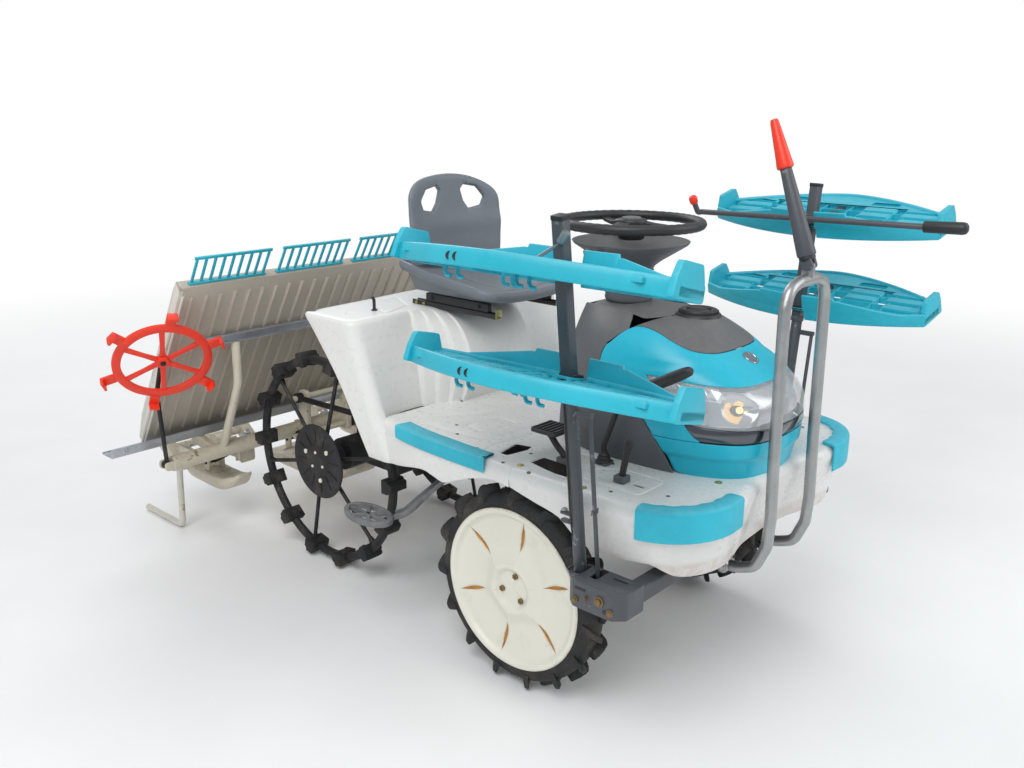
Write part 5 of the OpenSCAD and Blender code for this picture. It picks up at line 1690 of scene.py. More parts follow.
rail_parts, rail_zinc = [], []
for side in (-1, 1):
    y = side * 130
    line = [(-12, 866.2), (-12, 879.5), (-9, 879.8), (-9, 869), (9, 869), (9, 879.8), (12, 879.5),
            (12, 866.2)]
    rings = [[Vector((x, y + w, h)) for w, h in line] for x in (250, 420, 586)]
    rail_parts.append(shell(rings))
    rail_zinc.append(block((560, y - 8.6, 869.2), (590, y + 8.6, 871.5)))
    rail_zinc.append(slab(rounded([(587.6, y - 12), (590, y - 12), (590, y + 12), (587.6, y + 12)], 0.8, 2),
                          866.5, 892))
    for x in (268, 300):
        rail_zinc += bolt((x, y + side * 12, 872), (0, side, 0), 4.0, 5.0)
piece("seat_rails_folded", [metres(p) for p in rail_parts], BLACK, "machine", "seat_rails",
      bevel=0.0006)
piece("seat_rail_stops", [metres(p) for p in rail_zinc], YELLOW_ZINC, "machine",
      bevel=0.0005)

# small gate lever in its recess on the base
gate = [tube([(250, -290, 866.3), (250, -290, 895), (246, -292, 905)], 4.6, 8, 14),
        turned([(0, 0.01), (0, 9), (3, 9), (4, 7), (4, 0.01)], (250, -290, 865.8), (0, 0, 1), 24)]
piece("gate_lever", [metres(p) for p in gate], BLACK, "machine")


# Posts, brackets, hoop and marker


def square_tube(start, end, half, corner=4.0, up=(1, 0, 0)):
    """A square tube with rounded corners between two points."""
    start, end = Vector(start), Vector(end)
    place = frame_at(start, up, end - start)
    outline = rounded([(-half, -half), (half, -half), (half, half), (-half, half)], corner, 4)
    rings = [[Vector((x, y, z)) for x, y in outline] for z in (0, (end - start).length)]
    return moved(shell(rings), place)


lean = math.tan(math.radians(POST_LEAN))
post_point = lambda h, out=0.0: Vector((POST_X, POST_Y + (h - POST_FOOT) * lean + out, h))
post_parts, cap_parts, zinc_parts, grip_parts = [], [], [], []
post_parts.append(tube([post_point(389), post_point(860)], 15, 0, 28))
post_parts.append(square_tube(post_point(848), post_point(1226), 14))
post_parts.append(turned([(-1, 15), (0, 18), (12, 18), (13, 15)], post_point(846), post_point(900)
                         - post_point(846), 28))
cap_parts.append(square_tube(post_point(1222), post_point(1231), 15.2, 5))
for height in (538, 558):
    ear = post_point(height)
    post_parts.append(slab(rounded([(POST_X - 46, ear.y - 8), (POST_X - 8, ear.y - 8),
                                    (POST_X - 8, ear.y + 8), (POST_X - 46, ear.y + 8)], (6, 0, 0, 6), 4),
                           height, height + 5))
zinc_parts += bolt(post_point(567) + Vector((-36, 0, 0)), (0, 0, 1), 5.5, 8.0) + bolt(post_point(537)
        + Vector((-36, 0, 0)), (0, 0, -1), 5.5)
rod_point = lambda h: post_point(h) + Vector((50, 0, 0))
post_parts.append(tube([rod_point(408), rod_point(820)], 5, 0, 18))
post_parts.append(moved(turned([(-7.5, 6.1), (-7.5, 10), (-6.5, 11), (6.5, 11), (7.5, 10), (7.5, 6.1)],
                               (0, 0, 0), (0, 0, 1), 28, closed=True), facing(rod_point(400), (1, 0, 0))))
clamp, clamp_faces = slab(rounded([(POST_X - 6, 0), (POST_X + 56, 0), (POST_X + 56, 12), (POST_X - 6, 12)],
                                  3, 3), post_point(815).y - 6, post_point(815).y + 6)
post_parts.append(([Vector((v.x, v.z, v.y + 809)) for v in clamp], clamp_faces))
post_parts.append(moved(slab([(-15, 0), (0, -9), (15, 0), (0, 9)], -1, 1),
                        facing(rod_point(588), (0, 0.35, 1))))
cable = [post_point(h, 17) + Vector((-6, 0, 0)) for h in (560, 640, 720, 800, 858)]
cable_tube = tube(curve_through([tuple(p) for p in [Vector((POST_X - 4, POST_Y + 18, 470)), *cable]], 16),
                  2.2, 0, 8)
for height in RACK_HEIGHTS:
    place = rack_place(height)
    arm = shell([[Vector((x, y, z)) for x, z in rounded([(-13, -9), (13, -9), (13, -24 + t),
            (-13, -24 + t)], 3, 3)] for y, t in ((38, 0), (120, 0), (290, 8))])
    post_parts.append(moved(arm, place))
    cap_parts.append(moved(shell([[Vector((x, y, z)) for x, z in rounded([(-19, -8), (19, -8), (19, 7),
            (-19, 7)], 4, 3)] for y in (28, 66)]), place))
    for reach in (92, 210):
        zinc_parts += [moved(p, place) for p in bolt((0, reach, -24), (0, 0, -1), 5.5, 8.0)]
for side_name, side in SIDES:
    body = "rack_unit_" + side_name
    grey, black, bright = list(post_parts), list(cap_parts), list(zinc_parts)
    if side > 0:
        long_rod = [(838, 486, 1134), (1500, 486, 1146)]
        grey.append(tube(long_rod, 8, 0, 20))
        grey.append(tube([(840, 486, 1134), (829, 485, 1131), (824, 470, 1160)], 8, 10, 16))
        clamp = rounded([(474, 1122), (552, 1122), (552, 1150), (474, 1150)], 5, 3)
        block_part = shell([[Vector((x, y, z)) for y, z in clamp] for x in (POST_X - 13, POST_X + 13)])
        grey.append(block_part)
        bright += bolt((POST_X, 500, 1150), (0, 0, 1), 6, 9) + bolt((POST_X, 500, 1122), (0, 0, -1), 6)
        black.append(turned([(0, 8.4), (2, 15), (96, 16), (104, 14), (108, 9), (108, 0.01)],
                            (1490, 486, 1146), (110, 4, 4), 28))
        piece("post_rod_knob", [metres(turned([(0, 0.01), (0, 9), (4, 12), (18, 12.5), (24, 9), (26, 0.01)],
                                              (824, 470, 1158), (-4, -14, 34), 24))], ORANGE, body)
    else:
        stay = [(POST_X - 137, 575, 1124), (POST_X - 80, 572, 1125), (POST_X + 24, 570, 1188),
                (POST_X - 10, 572, 1222)]
        bright.append(tube(stay, 4.0, 16, 12))
        bright.append(turned([(0, 0.01), (0, 9), (26, 9), (26, 0.01)], (POST_X + 6, 572, 1178),
                             (0.55, 0, 0.83), 20))
    piece("rack_post_" + side_name + "_tube", [metres(sided(p, side)) for p in grey], POST, body,
          "rack_post_" + side_name, bevel=0.0006)
    piece("post_caps_" + side_name, [metres(sided(p, side)) for p in black + [cable_tube]], BLACK, body,
          bevel=0.0006)
    piece("post_fittings_" + side_name, [metres(sided(p, side)) for p in bright], ZINC, body,
          bevel=0.0003)

# brackets that carry the posts: open channels with slots, holes and pins
plates, pins = [], []
outer_line = rounded([(14, 438), (2, 450), (-5, 466), (-5, 495), (4, 510), (22, 524), (130, 524),
                      (154, 500), (154, 438)], (0, 4, 6, 6, 6, 6, 14, 14, 0), 4)
head_line = rounded([(2, 438), (-16, 452), (-21, 468), (-26, 484), (4, 510), (22, 524), (130, 524),
                     (154, 500), (154, 438)], (0, 4, 6, 8, 8, 6, 14, 14, 0), 4)
slots = [rounded([(-18, 440), (18, 440), (18, 494), (-18, 494)], 5, 3),
         rounded([(42, 440), (62, 440), (62, 490), (42, 490)], 5, 3),
         rounded([(84, 455), (126, 455), (126, 463), (84, 463)], 3.5, 4)]
from_post = lambda line: [(x + POST_X, y) for x, y in line]
plates.append(slab(from_post(head_line), 425, 430, [from_post(hole) for hole in slots]))
walls = [Vector((x + POST_X, y)) for x, y in outer_line]
middle = Vector((POST_X + 74, 478))
ring = lambda shrink, z: [Vector((p.x + (middle.x - p.x) * shrink * 0.055, p.y
                                  + (middle.y - p.y) * shrink * 0.1, z)) for p in walls]
plates.append(shell([ring(0, 425.2), ring(0, 368), ring(0.3, 365), ring(1, 365), ring(1, 425.2)], cap=False))
plates.append(slab([tuple(p.xy) for p in ring(1, 0)], 365.5, 369))
bar = rounded([(1270, 385), (1310, 385), (1310, 425), (1270, 425)], 5, 4)
plates.append(shell([[Vector((x, y, z)) for x, z in bar] for y in (138, 438)]))
plates.append(shell([[Vector((x, y, z)) for x, y in rounded([(1280, 138), (1300, 138), (1300, 150),
        (1280, 150)], 2, 2)] for z in (424, 475)]))
for x, width in ((-20, 40), (40, 24)):
    pins.append(tube([(POST_X + x, 465, 400), (POST_X + x + width, 465, 400)], 6, 0, 20))
pins += bolt((POST_X + 96, 525, 402), (0, 1, 0), 9, 13)
pins += [part for x in (30, 126) for part in bolt((POST_X + x, 525, 384), (0, 1, 0), 6, 9)]
pins.append(turned([(0, 0.01), (0, 4.5), (4, 4.5), (4, 0.01)], (POST_X + 60, 525, 398), (0, 1, 0), 18))
pins.append(tube([(POST_X + 60, 530, 404), (POST_X + 60, 532, 398), (POST_X + 66, 531, 388),
                  (POST_X + 58, 531, 382)], 1.3, 0, 8))
for side_name, side in SIDES:
    piece("rack_bracket_" + side_name, [metres(sided(p, side)) for p in plates], POST, "machine",
          "rack_brackets", bevel=0.0012)
    piece("bracket_pins_" + side_name, [metres(sided(p, side)) for p in pins], RUSTY, "machine",
          bevel=0.0003)
    slot_dark = [moved(slab(rounded([(-15, -3), (15, -3), (15, 3), (-15, 3)], 2.5, 4), -0.5, 0.5),
                       frame_at((POST_X + 44, 524.4, 414), (1, 0, 0), (0, 1, 0)))]
    slot_dark.append(turned([(-0.4, 0.01), (-0.4, 6), (0.5, 6), (0.5, 0.01)], (POST_X + 112, 524.2, 382),
                            (0, 1, 0), 18))
    piece("bracket_holes_" + side_name, [metres(sided(p, side)) for p in slot_dark], BLACK, "machine")

# front hoop, one bent tube with flattened feet and pivot bolts
half_loop = [(1322, 100, 360), (1352, 100, 362), (1398, 100, 378), (1424, 100, 440), (1428, 100, 510),
             (1423, 100, 660), (1418, 100, 1010), (1418, 84, 1050), (1418, 40, 1062)]
loop = half_loop + [(x, -y, z) for x, y, z in reversed(half_loop)]
hoop_parts = [tube(loop, 14, 42, 28)]
for side in (-1, 1):
    hoop_parts.append(turned([(-20, 9), (-20, 15), (-18, 17), (18, 17), (20, 15), (20, 9)],
                             (1320, side * 100, 360), (0, 1, 0), 32))
    hoop_parts += bolt((1320, side * 120, 360), (0, side, 0), 9, 13)
lug = slab(rounded([(-14, -30), (14, -30), (14, 6), (0, 14), (-14, 6)], (0, 0, 8, 8, 8), 4), -5, 5)
hoop_parts.append(moved(lug, frame_at((1418, 0, 1093), (1, 0, 0), (0, -1, 0))))
piece("front_hoop_tube", [metres(p) for p in hoop_parts], ZINC, "hoop", "front_hoop",
      bevel=0.0004)

tilt = Matrix.Translation((1418, 0, 1097)) @ Matrix.Rotation(math.radians(-20), 4, "Y")
staff = [turned([(18, 0.01), (18, 17), (21, 21), (26, 21.5), (60, 20), (222, 13), (222, 0.01)], (0, 0, 0),
                (0, 0, 1), 32)]
for side in (-1, 1):
    cheek = slab(rounded([(-14, -8), (0, -14), (14, -8), (12, 24), (-12, 24)], (8, 10, 8, 0, 0), 4), 0, 8.4)
    staff.append(moved(cheek, Matrix(((1, 0, 0, 0), (0, 0, side, side * 5.3), (0, 1, 0, 0), (0, 0, 0, 1)))))
piece("centre_marker_staff", [metres(moved(p, tilt)) for p in staff], POST, "marker", "centre_marker",
      bevel=0.0006)
joint_parts = [turned([(-13, 0.01), (-13, 5), (13, 5), (13, 0.01)], (0, 0, 0), (0, 1, 0), 20),
               turned([(8, 0.01), (9, 15), (14, 19), (19, 18.5), (22, 12), (22, 0.01)], (0, 0, 0),
                      (0, 0, 1), 28)]
piece("marker_ball_base", [metres(moved(p, tilt)) for p in joint_parts], BLACK, "marker")
piece("marker_tip", [metres(moved(turned([(221, 0.01), (221, 16), (224, 19), (230, 19), (242, 17.4),
                                          (326, 10), (333, 8), (335, 0.01)], (0, 0, 0), (0, 0, 1), 32),
                                  tilt))], ORANGE, "marker")


# Steering wheel, column and controls


grip = []
for k in range(96):
    a = 2 * math.pi * k / 96
    swell = 13.2 + 0.8 * math.cos(a * 24) ** 2
    centre = Vector((930 + 176 * math.cos(a), 176 * math.sin(a), 1150))
    out = Vector((math.cos(a), math.sin(a), 0))
    grip.append([centre + (out * math.cos(b) + Vector((0, 0, 1)) * math.sin(b)) * (swell
            - 1.6 * max(0, -math.sin(b))) for b in (2 * math.pi * j / 18 for j in range(18))])
wheel_parts = [shell(grip + [grip[0]], cap=False)]
for a in (30, 150, 270):
    turn = Matrix.Translation((930, 0, 1150)) @ Matrix.Rotation(math.radians(a), 4, "Z")
    arm_rings = []
    for reach, half, high, low in ((26, 20, 6, -12), (60, 15, 0, -14), (110, 12, -6, -17),
                                   (150, 12, -5, -14), (170, 13, -2, -9)):
        arm_rings.append([Vector((reach, y, z)) for y, z in rounded([(-half, low), (half, low),
                (half, high), (-half, high)], 4, 3)])
    wheel_parts.append(moved(shell(arm_rings), turn))
wheel_parts.append(turned([(-42, 0.01), (-42, 30), (-38, 34), (-8, 36), (4, 40), (9, 37), (11, 28),
                           (12, 0.01)], (930, 0, 1150), (0, 0, 1), 48))
piece("steering_wheel_rim", [metres(p) for p in wheel_parts], BLACK, "steering", "steering_wheel",
      sharp=50, bevel=0.0)
piece("steering_wheel_cap", [metres(turned([(10, 0.01), (10, 26), (13.5, 25), (15, 20), (15.4, 0.01)],
                                           (930, 0, 1150), (0, 0, 1), 40))], GREY_DASH, "steering")
bowl = turned([(6, 60), (40, 58), (88, 60), (98, 66), (112, 84), (136, 122), (152, 147), (159, 152),
               (160, 149), (156, 142), (140, 116), (120, 86), (117, 0.01)], (930, 0, 946), (0, 0, 1), 64)
boot = turned([(h, 61 + (1.6 if k % 2 else 0)) for k, h in enumerate(range(8, 92, 6))] + [(92, 0.01)],
              (930, 0, 946), (0, 0, 1), 48)
piece("column_bowl_moulded", [metres(bowl), metres(boot)], GREY_DASH, "machine", "column_bowl",
      bevel=0.0006)
stalk = tube([(930, -100, 1070), (935, -160, 1086), (940, -186, 1092)], 4.5, 14, 14)
piece("column_stalk", [metres(p) for p in (stalk, turned([(0, 0.01), (0, 7), (18, 9), (24, 6), (24, 0.01)],
        (940, -184, 1091), (0.1, -0.9, 0.3), 20))], GREY_DASH, "machine")

# levers and pedals
lever_parts, grip_parts, plate_parts = [], [], []
lever_parts.append(tube([(1060, -262, 606), (1058, -262, 645), (1100, -262, 760), (1178, -262, 816)], 7, 26,
                        18))
flat_grip = []
for t, wide, thick in ((0, 12, 12), (0.06, 16, 15), (0.3, 17, 14), (0.6, 18, 14), (0.85, 18, 13),
                       (0.96, 15, 11), (1, 9, 7)):
    spot = Vector((1168, -262, 810)).lerp(Vector((1290, -262, 878)), t)
    up_axis = Vector((-68, 0, 122)).normalized()
    flat_grip.append([spot + Vector((0, 1, 0)) * wide * math.cos(a) * 0.82 + up_axis * thick * math.sin(a)
                      for a in (2 * math.pi * k / 20 for k in range(20))])
grip_parts.append(shell(flat_grip))
plate_parts.append(slab(rounded([(1040, -280), (1080, -280), (1080, -244), (1040, -244)], 7, 4), 600.4, 606))
plate_parts += [part for x, y in ((1046, -274), (1074, -250)) for part in bolt((x, y, 606), (0, 0, 1), 4,
        5.5)]
boot_at = lambda x, y, h: turned([(0, 20), (4, 20), (8, 16), (12, 17), (16, 13), (20, 14), (24, 9), (h, 8),
                                  (h, 0.01)], (x, y, 604), (0, 0, 1), 24)
grip_parts.append(boot_at(1060, -262, 30))
lever_parts.append(tube([(1163, -330, 606), (1166, -330, 630), (1180, -330, 700)], 8, 8, 16))
plate_parts.append(slab(rounded([(1148, -345), (1178, -345), (1178, -315), (1148, -315)], 4, 3), 600.4, 616))
grip_parts.append(turned([(0, 0.01), (0, 9), (3, 10), (22, 10), (25, 8), (25, 0.01)], (1175, -330, 680),
                         (17, 0, 70), 20))
for side in (-1, 1):
    lever_parts.append(tube([(985, side * 320, 603), (982, side * 320, 618), (960, side * 320, 636),
                             (925, side * 320, 674)], 8, 14, 16))
    tread = rounded([(905, side * 320 - 40), (985, side * 320 - 40), (985, side * 320 + 40),
                     (905, side * 320 + 40)], 10, 4)
    grip_parts.append(slab(tread, 672, 681))
    grip_parts.append(rows_of(block((910, side * 320 - 34, 680.5), (916, side * 320 + 34, 683.6)), 6,
                              (12.8, 0, 0)))
    plate_parts.append(slab(rounded([(968, side * 320 - 15), (1002, side * 320 - 15),
                                     (1002, side * 320 + 15), (968, side * 320 + 15)], 5, 3), 600.4, 612))
piece("hand_lever_rods", [metres(p) for p in lever_parts], BLACK, "machine", "hand_levers")
piece("lever_grips", [metres(p) for p in grip_parts], BLACK, "machine", bevel=0.0005)
piece("lever_plates", [metres(p) for p in plate_parts], GREY_DASH, "machine",
      bevel=0.0006)
band_spot = Vector((1168, -262, 810)).lerp(Vector((1290, -262, 878)), 0.04)
piece("lever_plain_band", [metres(turned([(0, 14.6), (0.3, 15.6), (9.7, 15.8), (10, 14.8)], band_spot,
                                         (122, 0, 68), 28))], YELLOW_ZINC, "machine")
piece("dash_small_lever", [metres(turned([(0, 0.01), (0, 4), (26, 5), (34, 8), (44, 8), (48, 5),
                                          (48, 0.01)], (1046, -196, 700), (0.35, -0.5, 0.8), 20))], ORANGE,
      "machine")

# stirrup steps below the floor: a cast oval loop with a web, on a ribbed arm
oval_at = lambda a, reach: Vector((452 + (88 - reach) * math.cos(a) + (6 - reach * 0.1) * math.sin(a), 503
                                   + (50 - reach) * math.sin(a), 360))
loop_rings = []
for k in range(64):
    a = 2 * math.pi * k / 64
    centre, out = oval_at(a, 7), (oval_at(a, 0) - oval_at(a, 14)).normalized()
    loop_rings.append([centre + out * dx + Vector((0, 0, dz)) for dx,
                       dz in rounded([(-7, -8), (7, -8), (7, 8), (-7, 8)], 3, 3)])
web_line = rounded([(-6, -6), (6, -6), (6, 5), (-6, 5)], 2.5, 3)


def cast_bar(line, section):
    rings = []
    for i, spot in enumerate(line):
        ahead = (line[min(i + 1, len(line) - 1)] - line[max(i - 1, 0)]).normalized()
        across = ahead.cross(Vector((0, 0, 1))).normalized()
        rings.append([spot + across * w + Vector((0, 0, h)) for w, h in section])
    return shell(rings)


stirrup = [shell(loop_rings + [loop_rings[0]], cap=False), cast_bar([oval_at(math.pi, 6), oval_at(0, 6)],
        web_line), cast_bar([oval_at(math.radians(62), 8), oval_at(math.radians(242), 8)], web_line),
           cast_bar([oval_at(math.radians(118), 8), oval_at(math.radians(298), 8)], web_line)]
teeth = [turned([(7, 0.01), (7, 2.4), (10, 1.8), (10, 0.01)], oval_at(2 * math.pi * k / 26, 7), (0, 0, 1),
                8) for k in range(26)]
arm_path = curve_through([(655, 316, 503), (640, 326, 494), (600, 352, 460), (560, 396, 410),
                          (536, 440, 372), (512, 462, 360)], 20)
arm_path = [Vector(p) for p in arm_path]
stirrup.append(cast_bar(arm_path, rounded([(-17, -5), (17, -5), (17, 4), (-17, 4)], 2, 2)))
for shift in (-15, 15):
    stirrup.append(cast_bar(arm_path, [(w + shift, h) for w, h in rounded([(-3, -5), (3, -5), (3, 11),
            (-3, 11)], 1.5, 2)]))
stirrup.append(slab(rounded([(642, 300.4), (678, 300.4), (678, 312), (642, 312)], 2, 2), 486, 520))
stirrup += bolt((650, 312, 511), (0, 1, 0), 6, 9) + bolt((670, 312, 495), (0, 1, 0), 6, 9)
for side_name, side in SIDES:
    piece("stirrup_step_" + side_name, [metres(sided(p, side)) for p in stirrup + teeth], GREY_LEG,
          "machine", "stirrup_steps", bevel=0.0008)


# Rear wheels


REAR_Y, REAR_HUB, RIM = 300.0, 350.0, 322.0
rim_line = [(RIM * math.cos(a), RIM * math.sin(a), 0) for a in (2 * math.pi * k / 96 for k in range(96))]
rim_rings = [[Vector((x * (1 + 13.6 / RIM * math.cos(b)), y * (1 + 13.6 / RIM * math.cos(b)),
                      13.6 * math.sin(b))) for b in (2 * math.pi * j / 16 for j in range(16))] for x, y,
             _ in rim_line]
rim_part = shell(rim_rings + [rim_rings[0]], cap=False)
lug = shell([[Vector((r, w * s, t)) for s, t in rounded([(-1, -h), (1, -h), (1, h), (-1, h)], 0)] for r, w,
             h in ((304, 20, 31), (306, 22, 33.5), (330, 21, 33.5), (334, 15, 33), (346, 13, 32),
                   (348.4, 10, 28))])
lug_side = [shell([[Vector((r, y, z)) for y, z in ((-w, a), (w, a), (w, b), (-w, b))] for r,
                   w in ((300, 12), (312, 17), (328, 17))]) for a, b in ((-25, -15), (15, 25))]
spoke = [tube([(28, 0, 10), (120, 0, 8), (RIM - 8, 0, 0)], 6.3, 0, 14),
         turned([(0, 0.01), (0, 11), (10, 9), (20, 6.5), (20, 0.01)], (RIM - 12, 0, 0), (-1, 0, 0), 18)]
hub_part = [turned([(-118, 0.01), (-118, 20), (-60, 20), (-58, 26), (-54, 34), (20, 34), (26, 30),
                    (26, 0.01)], (0, 0, 0), (0, 0, 1), 40)]
cover_plate = turned([(20, 60), (24, 96), (26.6, 116), (27, 120), (30, 121), (33, 119), (33, 108),
                      (30.6, 96), (30.6, 58), (33, 50), (34.5, 46), (34.5, 0.01)], (0, 0, 0), (0, 0, 1), 72)
cover_ribs = ring_of(block((52, -2, 30), (104, 2, 33)), 12, 6)
for side_name, side in SIDES:
    place = Matrix.Translation((0, side * REAR_Y, REAR_HUB)) @ Matrix.Rotation(math.radians(-90 * side), 4,
            "X")
    body = "rear_wheel_" + side_name
    set_on = lambda parts: [metres(moved(p, place)) for p in parts]
    spokes = [ring_of(part, 6, 15) for part in spoke]
    piece("rear_rim_" + side_name, set_on([rim_part, *spokes, *hub_part]), CHASSIS, body, "rear_wheel_"
          + side_name, bevel=0.0)
    piece("rear_lugs_" + side_name, set_on([ring_of(lug, 14), *[ring_of(p, 14) for p in lug_side]]), RUBBER,
          body, bevel=0.0022, segments=2, sharp=30)
    piece("rear_cover_" + side_name, set_on([cover_plate, cover_ribs]), CHASSIS, body,
          bevel=0.0005)
    heads = [p for k in range(3) for p in bolt((62 * math.cos(math.radians(40 + 120 * k)),
                                                62 * math.sin(math.radians(40 + 120 * k)), 31), (0, 0, 1),
                                               8, 0)]
    heads += [p for k in range(3) for p in bolt((30 * math.cos(math.radians(100 + 120 * k)),
                                                 30 * math.sin(math.radians(100 + 120 * k)), 34), (0, 0, 1),
                                                5, 0, 4)]
    piece("rear_bolts_" + side_name, set_on(heads), DISC, body, bevel=0.0004)


# Seedling tray, its guards and rails


TRAY_SLOPE, TRAY_LENGTH, TRAY_HALF = math.radians(58.5), 660.0, 620.0
TRAY_X, TRAY_Z = -568 + TRAY_LENGTH * math.cos(TRAY_SLOPE), 348.3 + TRAY_LENGTH * math.sin(TRAY_SLOPE)
tray_place = Matrix.Translation((TRAY_X, 0, TRAY_Z)) @ Matrix.Rotation(-TRAY_SLOPE, 4, "Y")
tray_parts = [block((-TRAY_LENGTH, -TRAY_HALF, 1.0), (0, TRAY_HALF, 6))]
tray_parts.append(rows_of(shell([[Vector((x, y, z)) for y, z in ((-7, 1.2), (-4, -6), (-2.5, -7.5),
        (2.5, -7.5), (4, -6), (7, 1.2))] for x in (-628, -40)]), 24, (0, 580 * 2 / 23.0, 0)))
tray_parts[-1] = moved(tray_parts[-1], Matrix.Translation((0, -580, 0)))
for y in range(-2, 3):
    wall_line = rounded([(-640, 6), (-2, 6), (-2, 40), (-560, 40), (-640, 22)], (0, 0, 8, 30, 6), 4)
    divider = slab(wall_line, -4, 4)
    tray_parts.append(([Vector((v.x, y * 306 + v.z, v.y)) for v in divider[0]], divider[1]))
tray_parts.append(shell([[Vector((x, y, z)) for x, z in rounded([(-18, 4), (0, 4), (0, 34), (-4, 34),
        (-18, 8)], 1.5, 2)] for y in (-TRAY_HALF, TRAY_HALF)]))
for k in (-1.5, -0.5, 0.5, 1.5):
    tray_parts.append(rows_of(moved(block((-610, -2, 6), (-30, 2, 9)),
                                    Matrix.Translation((0, k * 306 - 112, 0))), 9, (0, 28, 0)))
piece("seedling_tray_ribbed", [metres(moved(p, tray_place)) for p in tray_parts], TRAY, "tray",
      "seedling_tray", bevel=0.0006, sharp=30)
edge_parts = []
for side in (-1, 1):
    cheek = slab(rounded([(-652, 0), (-12, 0), (0, 12), (0, 36), (-40, 40), (-560, 40), (-652, 22)],
                         (0, 10, 8, 12, 30, 20, 6), 4), 0, 7)
    edge_parts.append(([Vector((v.x, side * (612.5 + v.z), v.y)) for v in cheek[0]], cheek[1]))
    edge_parts.append(tube([(-650, side * 612, -3), (-30, side * 612, -3)], 4, 0, 12))
piece("tray_side_frames", [metres(moved(p, tray_place)) for p in edge_parts], TUBE_WHITE, "tray",
      bevel=0.0008)
tooth = shell([[Vector((x, y, z)) for y, z in rounded([(-w, 10.3), (w, 10.3), (w, 16.6), (-w, 16.6)], 1.6,
        3)] for x, w in ((0, 4), (86, 4), (94, 3.6))])
guard_parts = []
for k in (-1.5, -0.5, 0.5, 1.5):
    middle = Matrix.Translation((0, k * 306, 0))
    guard_parts.append(moved(rows_of(moved(tooth, Matrix.Translation((0, -124, 0))), 9, (0, 31, 0)), middle))
    guard_parts.append(moved(shell([[Vector((x, y, z)) for x, z in rounded([(92, 10.2), (102, 10.2),
            (102, 17), (92, 17)], 2.2, 3)] for y in (-132, 132)]), middle))
    guard_parts.append(moved(shell([[Vector((x, y, z)) for x, z in rounded([(0.2, 8.2), (8, 8.2), (8, 20),
            (0.2, 20)], 2, 3)] for y in (-132, 132)]), middle))
    for y in (-110, 0, 110):
        guard_parts.append(moved(screw((3, y, 19.8), (0, 0, 1), 4.5), middle))
piece("tray_guards_comb", [metres(moved(p, tray_place)) for p in guard_parts], TEAL_MATT, "tray",
      "tray_guards", bevel=0.0006)


def tray_point(down, off):
    return Vector((TRAY_X - down * math.cos(TRAY_SLOPE) + off * math.sin(TRAY_SLOPE), 0, TRAY_Z
                   - down * math.sin(TRAY_SLOPE) - off * math.cos(TRAY_SLOPE)))


upper = tray_point(TRAY_LENGTH - 445, 8 + 12 * math.sin(TRAY_SLOPE) + 14 * math.cos(TRAY_SLOPE) + 0.3)
lower = tray_point(TRAY_LENGTH, 0) + Vector((27, 0, -0.3))
channel = lambda x, z: [(x - 12, z - 14), (x + 12, z - 14), (x + 12, z - 11), (x - 9, z - 11),
                        (x - 9, z + 11), (x + 12, z + 11), (x + 12, z + 14), (x - 12, z + 14)]
rail_sets = [shell([[Vector((x, y, z)) for x, z in channel(upper.x, upper.z)] for y in (-500, 500)])]
outlet = [(-40, -8), (26, -8), (26, 22), (23, 22), (23, -4.6), (-36, -4.6), (-36, -0.2), (-40, -0.2)]
rail_sets.append(shell([[Vector((lower.x + x, y, lower.z + z)) for x, z in outlet] for y in (-750, 750)]))
for k in (-1.5, -0.5, 0.5, 1.5):
    rail_sets.append(shell([[Vector((lower.x + x, y, lower.z + z)) for x,
                             z in ((-38, -7), (22, -7), (22, -0.4), (-38, -0.4))]
                            for y in (k * 306 - 118, k * 306 + 118)]))
for y in (-700, -460, -150, 150, 460, 700):
    rail_sets += bolt((lower.x + 26, y, lower.z + 12), (1, 0, 0), 5, 8)
    rail_sets += bolt((upper.x + 12.0, y * 0.68, upper.z - 12.5), (0, 0, -1), 5, 0)
piece("tray_rails_folded", [metres(p) for p in rail_sets], RAIL, "planting_unit", "tray_rails",
      bevel=0.0006)

# planting frame: cast cases, tubes, hangers
ph_x, ph_z = -390.0, 290.0
frame_parts, dark_parts = [], []
y_tube = lambda x, z, y0, y1, r, n=28: turned([(y0, r - 1.2), (y0 + 1.2, r), (y1 - 1.2, r), (y1, r - 1.2)],
                                              (x, 0, z), (0, 1, 0), n)
frame_parts.append(y_tube(ph_x - 50, 300, -590, 590, 26, 40))
for side in (-1, 1):
    y = side * 90
    plate = slab(rounded([(ph_x - 24, ph_z - 24), (ph_x + 22, ph_z - 24), (ph_x + 22, ph_z + 164),
                          (ph_x - 24, ph_z + 164)], 16, 5), -8, 8)
    frame_parts.append(([Vector((v.x, y + v.z, v.y)) for v in plate[0]], plate[1]))
    frame_parts.append(block((ph_x - 60, y - 8, 280), (ph_x - 24, y + 8, 330)))
    frame_parts.append(tube([(ph_x - 50, side * 400, 300), (upper.x, side * 400, 560),
                             (upper.x, side * 400, upper.z - 14)], 14, 90, 24))
    arm_rings = [[Vector((x, side * 430 + y2, z)) for y2, z in rounded([(-10, 300), (10, 300), (10, top),
            (-10, top)], 3, 3)] for x, top in ((lower.x - 30, lower.z - 8.2), (lower.x + 20, lower.z - 8.2),
                                               (ph_x - 50, 322))]
    frame_parts.append(shell(arm_rings))
    frame_parts += bolt((ph_x, side * 138, ph_z), (0, side, 0), 9, 0) + bolt((ph_x, side * 138, 430),
            (0, side, 0), 9, 0)
frame_parts += [y_tube(ph_x, ph_z, -136, 136, 10, 24), y_tube(ph_x, 430, -136, 136, 10, 24)]
